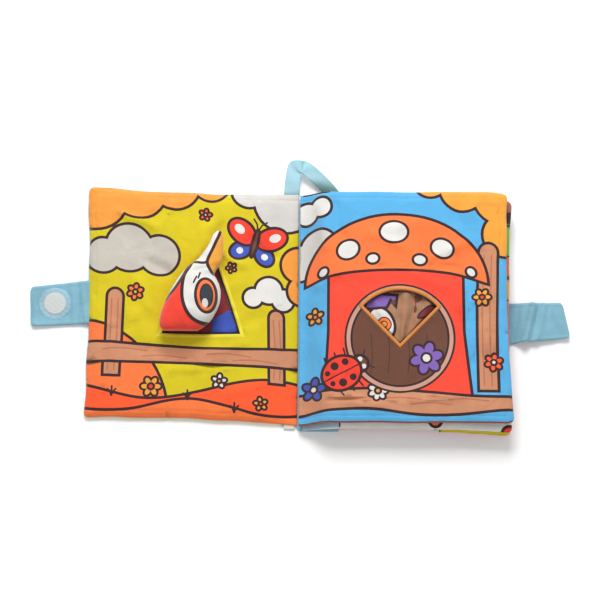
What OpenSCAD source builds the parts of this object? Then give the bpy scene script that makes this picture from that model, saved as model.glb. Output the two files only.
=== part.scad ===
// A padded cloth activity book for a small child, lying open at its first spread.
// The origin is under the fold, on the surface that the book lies on.
// X runs from the fold towards the leaves, Y towards the head of the page, Z up.

/* [Pages] */
// Width of the open book's halves, from the fold to the fore edge
page_w = 162; // [140:1:190]
// Height of a page
page_h = 180; // [150:1:210]
// Radius of a page's outer corners
corner_r = 5; // [3:0.5:10]
// How far a side draws in midway between its corners
side_draw = 2.2; // [0:0.1:3]
// How far up the page the open front cover lies, at the fold
cover_shift = 2; // [0:0.5:4]
// How far up the page the open front cover lies, at its fore edge
cover_skew = 7; // [0:0.5:10]
// How far up the page the top leaf lies
leaf_shift_up = 1; // [0:0.5:3]
// How far down the page the lower leaves and the back cover lie, at the fold
stack_shift = 2; // [0.5:0.5:4]
// How far down the page the lower leaves and the back cover lie, at their fore edge
stack_skew = 4.5; // [0:0.5:8]
// How far the top leaf's fore edge lies back from the others'
leaf_stagger = 3; // [0:0.5:8]
// How far out the top leaf's fore edge leans at its foot, and in at its head
leaf_slant = 3; // [0:0.5:5]

/* [Padding] */
// Thickness of a padded cover
cover_t = 6.4; // [5:0.1:8]
// Thickness of a padded leaf
leaf_t = 5.6; // [4.5:0.1:7]
// Thickness of a sewn edge
seam_t = 1.6; // [1:0.1:2]
// Height of a cover's sewn edge above the table
seam_lift = 1.2; // [0.6:0.1:2]
// Width over which the padding thins towards a sewn edge
pad_run = 8; // [5:0.5:12]
// Width over which a leaf comes down to the fold
fold_run = 24; // [15:1:30]
// Width over which a cover thins towards the spine
spine_run = 14; // [10:1:24]
// Depth of the groove that the top stitching makes
stitch_depth = 0.5; // [0:0.1:0.8]

/* [Spine] */
// Width of the cloth spine on the front cover's side of the fold
spine_front = 12; // [8:1:16]
// Width of the cloth spine under the leaves
spine_back = 31; // [31:1:40]

/* [Pocket] */
// Width of the triangular pocket at its foot
pocket_w = 60; // [50:1:70]
// Height of the triangular pocket
pocket_h = 64; // [40:1:70]
// Distance from the fold to the middle of the pocket's foot
pocket_from_fold = 74; // [60:1:90]
// How far the pocket's point lies towards the fold from the middle of its foot
pocket_lean = 8; // [0:1:12]
// How far below the middle of the page the pocket's foot lies
pocket_drop = 22.5; // [14:0.5:32]
// Thickness of the lining in the pocket
lining_t = 1.2; // [0.8:0.1:1.6]
// Length of the stuffed bird's head, from its foot to the tip of its beak
head_len = 77; // [60:1:84]
// Width of the stuffed bird's head
head_w = 43; // [34:1:46]
// Thickness of the stuffed bird's head
head_t = 22; // [16:1:26]

/* [Window] */
// Radius of the window's arc, round the middle of the printed door
window_r = 38.5; // [30:0.5:40]
// Half the angle between the window's straight sides
window_half_angle = 44; // [30:1:50]
// Distance from the fold to the window's point
window_from_fold = 77; // [65:1:90]
// How far below the middle of the page the window's point lies
window_drop = 30; // [14:1:34]
// Width of the binding round the window
binding_w = 2.4; // [1.6:0.2:4]
// Height of the binding above the print
binding_t = 0.9; // [0.5:0.1:1.4]

/* [Straps] */
// Length of a closing strap outside the cover
strap_l = 44; // [34:1:60]
// Width of a closing strap
strap_w = 30; // [27:1:40]
// Thickness of a closing strap
strap_t = 1.6; // [1:0.1:2.4]
// Slope of the straps across the page, in degrees
strap_slope = 3.5; // [0:0.5:8]
// Diameter of a touch fastener dot
dot_d = 25; // [16:1:25]
// Thickness of a touch fastener dot
dot_t = 1.2; // [0.8:0.1:1.6]

/* [Handle] */
// Width of the handle's ribbon
ribbon_w = 11.5; // [8:0.5:13]
// Thickness of the handle's ribbon
ribbon_t = 1.2; // [0.8:0.1:1.6]
// Radius of the bend at the top of the handle, to the middle of the ribbon
handle_bend_r = 8; // [7.5:0.5:10]
// How far the handle stands out past the head of the book
handle_reach = 30; // [22:1:40]
// Distance between the middles of the handle's two ends
handle_span = 28.5; // [26:0.5:30]

/* [Hidden] */

leaf_count = 3;
// Free space between soft pieces that lie on each other
lie_gap = 0.4;
// Free space between neighbours on different bodies
part_gap = 0.3;
// The leaves are sewn to the spine along this line, in a seam of this width
bound_x = 0.9;
bound_w = 2;
// The print stands this far above the cloth, and its outlines are this wide
print_t = 0.25;
line_w = 1;
// The cloth that is left below the pocket and the window
skin_t = 1.2;
// Steps along the flat middle of a page
mid_steps = 6;
// The stitched groove's distance from the edge, and half its width
stitch_in = pad_run * 0.62;
stitch_w = 0.9;

top_leaf = leaf_count - 1;
leaf_w = page_w - leaf_stagger - bound_x;
seam_top = seam_lift + seam_t;
leaf_pitch = leaf_t + lie_gap;
sewn_pitch = seam_t + lie_gap;
spine_head = page_h / 2 - side_draw;
spine_foot = page_h / 2 + stack_shift;
// How far up the page each panel lies, at the fold and at its fore edge
front_lie = [cover_shift, cover_skew];
back_lie = [-stack_shift, -stack_skew];

function mix(a, b, s) = a + (b - a) * s;
function smooth(s) = let (c = min(1, max(0, s))) c * c * (3 - 2 * c);

// A leaf's underside where it lies flat in the stack, and where it is sewn to the spine
function leaf_low(k) = cover_t + lie_gap + k * leaf_pitch;
function sewn_low(k) = seam_top + lie_gap + k * sewn_pitch;
function leaf_start(k) = bound_x + (k == top_leaf ? 0 : leaf_stagger);
function leaf_lie(k) = k == top_leaf ? [leaf_shift_up, leaf_shift_up] : back_lie;
stack_top = leaf_low(top_leaf) + leaf_t;
bound_top = sewn_low(top_leaf) + seam_t;

// 0 at a sewn edge and 1 where the padding is full, and the depth of the stitched groove
function fill(d) = sqrt(max(0, 1 - pow(1 - min(1, max(0, d) / pad_run), 2)));
function groove(d) = stitch_depth * max(0, 1 - abs(d - stitch_in) / stitch_w);

// Stations across a page: close together at the sewn edges, and wide apart between them
edge_steps = [0, pad_run * 0.12, pad_run * 0.3, stitch_in - stitch_w, stitch_in,
              stitch_in + stitch_w, pad_run];
edge_count = len(edge_steps);
v_stations = concat(
    [for (d = edge_steps) d - page_h / 2],
    [for (i = [1 : mid_steps - 1]) mix(pad_run - page_h / 2, page_h / 2 - pad_run, i / mid_steps)],
    [for (i = [edge_count - 1 : -1 : 0]) page_h / 2 - edge_steps[i]]);
function u_stations(start, run, w) = concat(
    [for (i = [0 : mid_steps]) start + run * i / mid_steps],
    [for (i = [1 : mid_steps - 1]) mix(start + run, w - pad_run, i / mid_steps)],
    [for (i = [edge_count - 1 : -1 : 0]) w - edge_steps[i]]);

// Distance from the nearest of a panel's three free edges
function edge_dist(u, v, w) = min(w - u, page_h / 2 - abs(v));

// Rounds the outer corners, draws the sides in and moves the panel up or down the page
function place(u, v, w, lie) =
    let (a = (u - w) / corner_r + 1,
         b = (abs(v) - page_h / 2) / corner_r + 1,
         at_corner = a > 0 && b > 0,
         u1 = at_corner ? w + corner_r * (a * sqrt(1 - b * b / 2) - 1) : u,
         v1 = at_corner ? page_h / 2 + corner_r * (b * sqrt(1 - a * a / 2) - 1) : abs(v),
         u2 = u1 * (1 - side_draw / w * (1 - pow(2 * v / page_h, 2))),
         v2 = v1 * (1 - 2 * side_draw / page_h * (1 - pow(2 * u / w - 1, 2))))
    [u2, sign(v) * v2 + mix(lie[0], lie[1], u / w)];

// A closed skin over two grids of points, upper and lower, with nu points along each row
function skin_faces(nu, nv) =
    let (n = nu * nv)
    concat(
        [for (j = [0 : nv - 2], i = [0 : nu - 2]) let (p = j * nu + i)
            each [[p, p + nu, p + nu + 1], [p, p + nu + 1, p + 1],
                  [n + p, n + p + nu + 1, n + p + nu], [n + p, n + p + 1, n + p + nu + 1]]],
        [for (i = [0 : nu - 2]) each [[i, i + 1, n + i + 1], [i, n + i + 1, n + i]]],
        [for (i = [0 : nu - 2]) let (p = (nv - 1) * nu + i)
            each [[p, n + p + 1, p + 1], [p, n + p, n + p + 1]]],
        [for (j = [0 : nv - 2]) let (p = j * nu)
            each [[p, n + p + nu, p + nu], [p, n + p, n + p + nu]]],
        [for (j = [0 : nv - 2]) let (p = j * nu + nu - 1)
            each [[p, p + nu, n + p + nu], [p, n + p + nu, n + p]]]);

// One padded leaf, from its sewn edge at the fold to its fore edge
function leaf_bottom(k, u) = mix(sewn_low(k), leaf_low(k), smooth(u / fold_run));
function leaf_full(u) = mix(seam_t, leaf_t, smooth(u / fold_run));
function leaf_level(k, u, d, side) =
    leaf_bottom(k, u) + leaf_full(u) / 2
    + side * (mix(seam_t, leaf_full(u), fill(d)) / 2 - groove(d));
module leaf(k) {
    us = u_stations(0, fold_run, leaf_w);
    points = [for (side = [1, -1], v = v_stations, u = us)
        let (p = place(u, v, leaf_w, leaf_lie(k)),
             lean = (k == top_leaf ? leaf_slant : 0) * u / leaf_w * 2 * v / page_h)
        [p[0] + leaf_start(k) - lean, p[1], leaf_level(k, u, edge_dist(u, v, leaf_w), side)]];
    polyhedron(points, skin_faces(len(us), len(v_stations)));
}

// One padded cover. The side is 1 for the back cover, on the right, and -1 for the front.
function cover_height(u, d, start) =
    mix(seam_top, mix(seam_top, cover_t, smooth((u - start) / spine_run)), fill(d));
module cover(side, start, lie) {
    us = u_stations(start, spine_run, page_w);
    upper = [for (v = v_stations, u = us)
        let (p = place(u, v, page_w, lie), d = edge_dist(u, v, page_w))
        [side * p[0], p[1], cover_height(u, d, start) - groove(d)]];
    lower = [for (v = v_stations, u = us)
        let (p = place(u, v, page_w, lie), d = edge_dist(u, v, page_w))
        [side * p[0], p[1], seam_lift * (1 - fill(d))]];
    faces = skin_faces(len(us), len(v_stations));
    polyhedron(concat(upper, lower), side > 0 ? faces : [for (f = faces) [f[0], f[2], f[1]]]);
}
// A cover starts this far out, so that its drawn-in inner edge clears the spine
function cover_start(spine_edge) = (spine_edge + part_gap) / (1 - side_draw / page_w);
module front_panel() cover(-1, cover_start(spine_front), front_lie);
module back_panel() cover(1, cover_start(spine_back), back_lie);

// The pocket's foot is level, and its point is above the middle of its foot
pocket_y = mix(cover_shift, cover_skew, pocket_from_fold / page_w) - pocket_drop;
module pocket_outline(grow) {
    offset(delta = grow)
        polygon([[-pocket_from_fold - pocket_w / 2, pocket_y],
                 [-pocket_from_fold + pocket_w / 2, pocket_y],
                 [-pocket_from_fold + pocket_lean, pocket_y + pocket_h]]);
}

// The window points down. Its arc runs round the middle of the printed door, which lies this far
// above its point.
door_rise = 6;
window_floor = leaf_low(top_leaf) + skin_t;
window_arm = door_rise * cos(window_half_angle)
    + sqrt(pow(window_r, 2) - pow(door_rise * sin(window_half_angle), 2));
window_arc = atan2(window_arm * sin(window_half_angle),
    window_arm * cos(window_half_angle) - door_rise);
module window_outline(grow) {
    steps = 12;
    offset(delta = grow)
        translate([window_from_fold, -window_drop])
            polygon(concat([[0, 0]],
                [for (i = [-steps : steps]) let (a = 90 + window_arc * i / steps)
                    [window_r * cos(a), door_rise + window_r * sin(a)]]));
}

// The printed pictures are flat fields of plain colour that stand a little above the cloth
print_in = pad_run + 3 * line_w;
module field(tint, z) {
    color(tint) translate([0, 0, z - print_t]) linear_extrude(2 * print_t)
        offset(delta = -line_w / 2) children();
}
module print_area(side, start, w, lie) {
    v1 = page_h / 2 - print_in;
    near = mix(lie[0], lie[1], start / page_w);
    far = mix(lie[0], lie[1], 1 - print_in / page_w);
    polygon([[side * start, near - v1], [side * (w - print_in), far - v1],
             [side * (w - print_in), far + v1], [side * start, near + v1]]);
}
module front_print(tint) {
    field(tint, cover_t) intersection() {
        print_area(-1, spine_front + spine_run + line_w, page_w, front_lie);
        children();
    }
}
module leaf_print(tint) {
    field(tint, stack_top) intersection() {
        print_area(1, fold_run + bound_x + line_w, leaf_w + bound_x - leaf_slant, leaf_lie(top_leaf));
        children();
    }
}
module wave(side, level, height) {
    steps = 24;
    polygon(concat([[0, -page_h], [side * page_w, -page_h]],
        [for (i = [steps : -1 : 0])
            [side * page_w * i / steps, level + height * sin(360 * i / steps)]]));
}
module puff(x, y, r) {
    for (p = [[-1, 0, 0.75], [0, 0.35, 1], [1.05, 0, 0.7]])
        translate([x + p[0] * r, y + p[1] * r]) circle(r = p[2] * r, $fn = 40);
}

module front_cover() {
    difference() {
        union() {
            color("gold") front_panel();
            front_print("orangered") wave(-1, -page_h * 0.3, 7);
            front_print("orange") translate([-page_w * 0.75, page_h * 0.46]) circle(r = 36, $fn = 60);
            front_print("gainsboro") puff(-page_w * 0.8, page_h * 0.17, 11);
            front_print("white") puff(-page_w * 0.24, page_h * 0.03, 9);
        }
        translate([0, 0, skin_t]) linear_extrude(cover_t) pocket_outline(0);
    }
}

module pocket_lining() {
    color("firebrick") translate([0, 0, skin_t]) linear_extrude(lining_t) pocket_outline(-part_gap);
}

// Rings along the stuffed head: how far along it, how far its middle lies towards the fold from
// the pocket's, and its half width and half thickness, as shares. The beak goes on from the
// head's last ring.
head_rings = [[0.00, -0.203, 0.62, 0.50], [0.06, -0.168, 0.82, 0.74], [0.13, -0.151, 0.91, 0.90],
              [0.20, -0.117, 0.98, 0.98], [0.30, -0.083, 0.97, 1.00], [0.40, -0.056, 0.89, 0.97],
              [0.52, -0.042, 0.69, 0.86], [0.60, -0.019, 0.60, 0.74], [0.66, 0.018, 0.57, 0.64]];
beak_rings = [[0.66, 0.018, 0.57, 0.64], [0.72, 0.086, 0.43, 0.48], [0.83, 0.131, 0.28, 0.33],
              [0.93, 0.156, 0.20, 0.22], [1.00, 0.180, 0.05, 0.08]];
head_sides = 24;
// The tip of the beak rises off the page, and the head's underside is pressed flat
head_rise = 5;
head_flat = 1.5;
head_seat = cover_t + part_gap;
module stuffed(rings) {
    points = [for (r = rings, i = [0 : head_sides - 1])
        let (a = 360 * i / head_sides)
        [-pocket_from_fold + head_len * r[1] + head_w / 2 * r[2] * cos(a),
         pocket_y + head_len * r[0],
         max(head_seat, head_seat - head_flat + head_rise * r[0] * r[0]
             + (head_t + head_flat) / 2 * (1 + r[3] * sin(a)))]];
    last = len(rings) - 1;
    polyhedron(points, concat(
        [[for (i = [0 : head_sides - 1]) i]],
        [for (j = [0 : last - 1], i = [0 : head_sides - 1])
            let (p = j * head_sides + i, q = j * head_sides + (i + 1) % head_sides)
            each [[p, p + head_sides, q + head_sides], [p, q + head_sides, q]]],
        [[for (i = [head_sides - 1 : -1 : 0]) last * head_sides + i]]));
}
module bird_head() {
    color("red") stuffed(head_rings);
}
module bird_beak() {
    color("orange") stuffed(beak_rings);
}

// The cloth that joins the covers, with the raised seam that holds the leaves. Its foot is as
// high as the front cover's on the left, and as low as the back cover's on the right.
spine_slant = 3;
module spine() {
    color("lightblue") difference() {
        translate([0, spine_head, 0]) rotate([90, 0, 0]) linear_extrude(spine_head + spine_foot)
            polygon([[-spine_front, 0], [spine_back, 0], [spine_back, seam_top], [bound_x, seam_top],
                     [bound_x, bound_top], [bound_x - seam_t, bound_top],
                     [bound_x - seam_t, seam_top], [-spine_front, seam_top]]);
        translate([0, 0, -skin_t]) linear_extrude(bound_top + 2 * skin_t)
            polygon([[-2 * spine_front, -spine_head], [part_gap - label_inset, -spine_head],
                     [spine_slant, -2 * spine_foot], [-2 * spine_front, -2 * spine_foot]]);
    }
}

// The printed door round the window, in a stalk under a toadstool's cap
door_r = 41.5;
door_y = door_rise - window_drop;
cap_r = 50;
module pages() {
    difference() {
        union() {
            color("deepskyblue") for (k = [0 : top_leaf]) leaf(k);
            color("deepskyblue") translate([bound_x, pad_run - page_h / 2, sewn_low(0)])
                cube([leaf_stagger + bound_w, page_h - 2 * pad_run, bound_top - sewn_low(0)]);
            leaf_print("red") intersection() {
                translate([window_from_fold, door_y + cap_r / 2]) circle(r = cap_r, $fn = 72);
                translate([0, door_y + door_r * 0.7]) square(page_w);
            }
            leaf_print("coral") translate([window_from_fold - door_r, door_y - door_r * 1.1])
                square([2 * door_r, door_r * 1.7]);
            leaf_print("saddlebrown") translate([window_from_fold, door_y]) circle(r = door_r, $fn = 72);
            leaf_print("peru") wave(1, -page_h * 0.38, 4);
            leaf_print("orange") puff(page_w * 0.84, page_h * 0.4, 13);
        }
        translate([0, 0, window_floor]) linear_extrude(leaf_t) window_outline(0);
    }
}

module window_binding() {
    color("peru") translate([0, 0, stack_top + print_t]) linear_extrude(binding_t) difference() {
        window_outline(binding_w / 2);
        window_outline(-binding_w / 2);
    }
}

// The cloth pouch that is pushed in behind the window, with its folds
module tucked_pouch() {
    folds = 4;
    fold_w = 7;
    fold_pitch = 10;
    room = stack_top - window_floor;
    color("saddlebrown") union() {
        translate([0, 0, window_floor]) linear_extrude(room * 0.45) window_outline(-part_gap);
        for (i = [0 : folds - 1])
            translate([0, 0, window_floor]) linear_extrude(room * (0.98 - 0.1 * i)) intersection() {
                window_outline(-binding_w - i);
                translate([window_from_fold + (i - folds / 2) * fold_pitch, -window_drop])
                    rotate(8 - 8 * i) square([fold_w, window_r]);
            }
    }
}

// A closing strap that leaves a cover's edge and comes down towards the table
module strap(rest_z) {
    steps = 8;
    tip_r = 3;
    // The strap's first stretch lies inside the cover's edge, and is cut away there
    start = -pad_run;
    // It is flat from just before the dot
    flat_from = strap_l - dot_from_end - dot_d / 2 - line_w;
    line = concat([[start, seam_lift]],
        [for (i = [0 : steps]) let (s = i / steps) [flat_from * s, mix(seam_lift, rest_z, smooth(s))]],
        [[strap_l, rest_z]]);
    intersection() {
        translate([0, strap_w / 2, 0]) rotate([90, 0, 0]) linear_extrude(strap_w)
            polygon(concat(line, [for (i = [steps + 2 : -1 : 0]) line[i] + [0, strap_t]]));
        linear_extrude(seam_lift + strap_t + dot_t) union() {
            translate([start, -strap_w / 2]) square([strap_l - start - tip_r, strap_w]);
            hull() for (s = [-1, 1])
                translate([strap_l - tip_r, s * (strap_w / 2 - tip_r)]) circle(r = tip_r, $fn = 32);
        }
    }
}
// Distance from the fold to a cover's drawn-in fore edge, halfway up the page
fore_edge = place(page_w, 0, page_w, back_lie)[0];
front_strap_y = cover_skew - 0.6;
back_strap_y = -7.7;
// A dot is this far from the strap's free end, and the middle of the dot this far
dot_margin = 5.5;
dot_from_end = dot_d / 2 + dot_margin;

module at_front_strap() {
    translate([-fore_edge, front_strap_y, 0]) rotate(180 + strap_slope) children();
}
module at_back_strap() {
    translate([fore_edge, back_strap_y, 0]) rotate(strap_slope) children();
}
// A strap's root is cut straight, just outside the cover's edge
module cover_side(side) {
    translate([side * (fore_edge + part_gap / 2 - page_w / 2), 0, 0])
        cube([page_w, page_h, 4 * cover_t], center = true);
}
module front_strap() {
    color("skyblue") difference() {
        at_front_strap() strap(0);
        cover_side(-1);
    }
}
module loop_dot() {
    color("whitesmoke") at_front_strap() translate([strap_l - dot_from_end, 0, strap_t])
        cylinder(h = dot_t, d = dot_d, $fn = 64);
}
module back_strap() {
    color("skyblue") difference() {
        at_back_strap() strap(dot_t);
        cover_side(1);
    }
}
module hook_dot() {
    color("whitesmoke") at_back_strap() translate([strap_l - dot_from_end, 0, 0])
        cylinder(h = dot_t, d = dot_d, $fn = 64);
}

module back_cover() {
    color("orange") back_panel();
}

// The ribbon handle: a straight leg up from the spine, a bend, and a slanted leg back down.
// The outline is worked out round the middle of the bend.
handle_inset = 0.5;
handle_left = ribbon_w / 2 - spine_front + handle_inset;
handle_low = 0.8;
bend = [handle_left + handle_bend_r, spine_head + handle_reach - handle_bend_r - ribbon_w / 2];
foot = [handle_left + handle_span, spine_head] - bend;
leg_angle = atan2(foot[1], foot[0]) + acos(handle_bend_r / norm(foot));
function bend_arc(r) = [for (i = [0 : 24]) let (a = mix(180, leg_angle, i / 24)) r * [cos(a), sin(a)]];
function slanted_foot(r) =
    [r * cos(leg_angle) + (r * sin(leg_angle) - foot[1]) * tan(leg_angle), foot[1]];
module handle() {
    inner = handle_bend_r - ribbon_w / 2;
    outer = handle_bend_r + ribbon_w / 2;
    inner_arc = bend_arc(inner);
    color("paleturquoise") translate([bend[0], bend[1], handle_low]) linear_extrude(ribbon_t)
        polygon(concat([[-outer, foot[1]]], bend_arc(outer), [slanted_foot(outer), slanted_foot(inner)],
                       [for (i = [24 : -1 : 0]) inner_arc[i]], [[-inner, foot[1]]]));
}

// A blank folded label that is sewn into the foot of the spine, next to the fold
label_inset = 1.8;
module care_label() {
    label_w = 8.5;
    label_l = 2.6;
    label_t = 0.8;
    color("white") translate([-label_inset - label_w, -spine_head - label_l, handle_low])
        cube([label_w, label_l, label_t]);
}

front_cover();
front_strap();
loop_dot();
pocket_lining();
bird_head();
bird_beak();
spine();
pages();
window_binding();
tucked_pouch();
handle();
care_label();
back_cover();
back_strap();
hook_dot();
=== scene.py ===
"""A padded cloth activity book, open at its first spread: finish, soft forms, light and camera."""
import math

import bmesh
import bpy
import numpy as np
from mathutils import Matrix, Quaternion, Vector
from mathutils.geometry import delaunay_2d_cdt


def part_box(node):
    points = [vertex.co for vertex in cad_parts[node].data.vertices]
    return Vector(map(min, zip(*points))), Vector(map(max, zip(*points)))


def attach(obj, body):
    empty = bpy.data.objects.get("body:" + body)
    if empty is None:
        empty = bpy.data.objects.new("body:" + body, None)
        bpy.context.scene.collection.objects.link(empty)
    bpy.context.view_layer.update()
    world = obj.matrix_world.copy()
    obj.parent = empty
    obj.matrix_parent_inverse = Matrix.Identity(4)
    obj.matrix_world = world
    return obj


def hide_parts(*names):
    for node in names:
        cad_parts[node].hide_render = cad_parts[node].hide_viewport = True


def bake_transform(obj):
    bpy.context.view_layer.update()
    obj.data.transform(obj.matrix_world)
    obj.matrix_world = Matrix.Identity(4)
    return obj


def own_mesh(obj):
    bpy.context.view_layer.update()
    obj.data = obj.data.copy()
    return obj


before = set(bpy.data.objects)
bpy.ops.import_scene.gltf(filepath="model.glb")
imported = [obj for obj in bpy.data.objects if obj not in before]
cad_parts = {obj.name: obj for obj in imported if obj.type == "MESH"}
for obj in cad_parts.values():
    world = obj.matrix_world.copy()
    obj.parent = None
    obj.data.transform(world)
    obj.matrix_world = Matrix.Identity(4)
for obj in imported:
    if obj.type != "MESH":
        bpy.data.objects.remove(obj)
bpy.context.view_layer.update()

# Lengths in this script are millimetres until a mesh is made.
MM = 0.001


def box_mm(node):
    low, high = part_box(node)
    return np.array(low) / MM, np.array(high) / MM


SPINE_LOW, SPINE_HIGH = box_mm("spine")
LINING_LOW, LINING_HIGH = box_mm("pocket_lining")
HEAD_LOW, HEAD_HIGH = box_mm("bird_head")
BEAK_TIP = box_mm("bird_beak")[1][1]
PAGES_TOP = box_mm("pages")[1][2]
COVER_T = box_mm("back_cover")[1][2]

# The sizes from here to the door's follow the part's source, so that the cloth lies over its solids
PAGE_W = 162.0
PAGE_H = 180.0
# How far up the page each panel lies, at the fold and at its fore edge
FRONT_LIE = (2.0, 7.0)
BACK_LIE = (-2.0, -4.5)
TOP_LIE = (1.0, 1.0)
SIDE_DRAW = 2.2
CORNER_R = 5.0
LEAF_COUNT = 3
TOP_LEAF = LEAF_COUNT - 1
LIE_GAP = 0.4
PRINT_T = 0.25
LEAF_T = (PAGES_TOP - PRINT_T - COVER_T - LEAF_COUNT * LIE_GAP) / LEAF_COUNT
SEAM_T = 1.6
SEAM_LIFT = 1.2
# The middle of a cover's sewn edge, and half its thickness
COVER_SEAM = SEAM_LIFT + 0.8
SEAM_HALF = 0.7
PAD_RUN = 8.0
FOLD_RUN = 24.0
SPINE_RUN = 14.0
LEAF_STAGGER = 3.0
LEAF_SLANT = 3.0
BOUND_X = 0.9
LEAF_W = PAGE_W - LEAF_STAGGER - BOUND_X
STITCH_IN = 5.0

# The window points down, and its arc runs round the middle of the printed door
WINDOW_AT = (77.0, -30.0)
WINDOW_HALF_ANGLE = 44.0
WINDOW_R = 38.5
DOOR_AT = (77.0, -24.0)
DOOR_R = 41.5

# The photograph's view: straight down but for a few degrees, from far away
VIEW_ELEVATION = 78.5
VIEW_DISTANCE = 2650.0
VIEW_PX_PER_MM = 1.315
VIEW_TARGET = (0.0, 0.0, 10.0)
TARGET_PX = (298.3, 310.0)
VIEW_ROLL = -0.51
IMAGE_PX = 600.0
SENSOR = 36.0


# Colours, as seen in even light, but for those marked below that carry painted shade or a painted
# highlight

def hex_rgb(text):
    values = [int(text[i:i + 2], 16) / 255 for i in (0, 2, 4)]
    return tuple(v / 12.92 if v <= 0.04045 else ((v + 0.055) / 1.055) ** 2.4 for v in values)


INK = hex_rgb("3A2426")
YELLOW = hex_rgb("D4C217")
GOLD = hex_rgb("EDA23C")
ORANGE = hex_rgb("EF9A3E")
CORAL = hex_rgb("FA7A3E")
FLAME = hex_rgb("FE5C2E")
RED = hex_rgb("F0402E")
ROSE = hex_rgb("FB4B36")
TAN = hex_rgb("CB8B68")
BARK = hex_rgb("B97355")
BROWN = hex_rgb("6C4535")
CREAM = hex_rgb("CFCBC6")
WHITE = hex_rgb("DFDDD8")
BEIGE = hex_rgb("C4BDB2")
SKY = hex_rgb("58AEE0")
BLUE = hex_rgb("3E57B5")
PURPLE = hex_rgb("8262B4")
RING = hex_rgb("CB9A86")
# The pocket's hem: a paler yellow than the page, partly its own colour and partly a painted
# highlight along its raised roll
HEM = hex_rgb("E6DA3E")
RUST = hex_rgb("94503F")
GREEN = hex_rgb("7DB74A")
WINE = hex_rgb("7E2B30")
MAUVE = hex_rgb("A5685C")
EMBER = hex_rgb("DE6E4A")
# Grey-blue of the spine cloth in shade, put on a leaf's foot as painted shade
PAINTED_SHADE_SLATE = hex_rgb("9DB3C2")
# Dark teal for the handle ribbon's painted shade
RIBBON_PAINTED_SHADE = hex_rgb("3F7462")
STRAP = hex_rgb("80B2C4")
RIBBON = hex_rgb("A9D6E3")
HOOK_WHITE = hex_rgb("C6CBC9")
BINDING = hex_rgb("D8883E")


# Small maths

def mix(a, b, s):
    return a + (b - a) * s


def smooth(s):
    c = np.clip(s, 0.0, 1.0)
    return c * c * (3 - 2 * c)


def spline(points, closed=False, steps=8):
    """A smooth line through given points."""
    p = [np.array(q, float) for q in points]
    n = len(p)
    spans = n if closed else n - 1
    line = []
    for i in range(spans):
        if closed:
            a, b, c, d = p[(i - 1) % n], p[i], p[(i + 1) % n], p[(i + 2) % n]
        else:
            a, b, c, d = p[max(i - 1, 0)], p[i], p[i + 1], p[min(i + 2, n - 1)]
        for j in range(steps):
            t = j / steps
            line.append(0.5 * (2 * b + (c - a) * t + (2 * a - 5 * b + 4 * c - d) * t ** 2
                               + (3 * b - a - 3 * c + d) * t ** 3))
    if not closed:
        line.append(p[-1])
    return [tuple(q) for q in line]


def grow(points, d):
    """A closed outline, moved outwards by d."""
    p = np.array(points, float)
    area = np.sum(p[:, 0] * np.roll(p[:, 1], -1) - p[:, 1] * np.roll(p[:, 0], -1))
    if area < 0:
        p = p[::-1]
    e = np.roll(p, -1, axis=0) - p
    e /= np.maximum(np.linalg.norm(e, axis=1, keepdims=True), 1e-9)
    n = np.stack([e[:, 1], -e[:, 0]], axis=1)
    m = n + np.roll(n, 1, axis=0)
    length = np.maximum(np.linalg.norm(m, axis=1, keepdims=True), 0.7)
    m = m / length
    reach = np.minimum(2 / length, 2.2)
    return [tuple(q) for q in p + m * reach * d]


def signed_distance(x, y, outline):
    """Distance from an outline: below 0 inside it."""
    p = np.array(outline, float)
    q = np.roll(p, -1, axis=0)
    x = np.asarray(x, float)
    y = np.asarray(y, float)
    best = np.full(x.shape, 1e9)
    inside = np.zeros(x.shape, bool)
    for (ax, ay), (bx, by) in zip(p, q):
        ex, ey = bx - ax, by - ay
        t = np.clip(((x - ax) * ex + (y - ay) * ey) / max(ex * ex + ey * ey, 1e-12), 0, 1)
        best = np.minimum(best, np.hypot(x - ax - t * ex, y - ay - t * ey))
        crosses = (ay > y) != (by > y)
        slope = ex / (ey if abs(ey) > 1e-12 else 1e-12)
        inside ^= crosses & (x < ax + (y - ay) * slope)
    return np.where(inside, -best, best)


# Shapes for the printed pictures. Each drawing is a list of (outline, colour), painted in order.

LINE = 2.2
GRAIN_LINE = 1.1


def turned(x, y, size, turn):
    """Gives the places of a drawing's points, for a drawing of this size and turn round x, y."""
    c, s = math.cos(math.radians(turn)), math.sin(math.radians(turn))

    def at(u, v):
        return x + u * size * c - v * size * s, y + u * size * s + v * size * c
    return at


def circle(x, y, r, n=36):
    angles = [2 * math.pi * i / n for i in range(n)]
    return [(x + r * math.cos(a), y + r * math.sin(a)) for a in angles]


def oval(x, y, rx, ry, turn=0.0, n=32):
    at = turned(x, y, 1.0, turn)
    angles = [2 * math.pi * i / n for i in range(n)]
    return [at(rx * math.cos(a), ry * math.sin(a)) for a in angles]


def inked(outlines, fill, line=LINE):
    """Shapes that overlap as one, with one dark line round them all."""
    return ([(grow(o, line / 2), INK) for o in outlines]
            + [(grow(o, -line / 2), fill) for o in outlines])


def puffs(circles, fill):
    return inked([circle(*c) for c in circles], fill)


def stroke(points, width, colour):
    """A drawn line with pointed ends."""
    p = np.array(points, float)
    t = np.gradient(p, axis=0)
    t /= np.maximum(np.linalg.norm(t, axis=1, keepdims=True), 1e-9)
    n = np.stack([-t[:, 1], t[:, 0]], axis=1) * width / 2
    outline = [*(p + n), p[-1] + t[-1] * width / 2, *(p - n)[::-1], p[0] - t[0] * width / 2]
    return [([tuple(q) for q in outline], colour)]


def flower(x, y, r, petals, fill, middle, turn=0.0):
    line = LINE * 0.8
    shapes = []
    for i in range(petals):
        a = math.radians(turn) + 2 * math.pi * i / petals
        shapes.append(oval(x + r * 0.58 * math.cos(a), y + r * 0.58 * math.sin(a), r * 0.46,
                           r * 0.34, math.degrees(a), 18))
    return inked(shapes, fill, line) + inked([circle(x, y, r * 0.3, 18)], middle, line)


def flowers(*all_values):
    return [shape for values in all_values for shape in flower(*values)]


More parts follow.
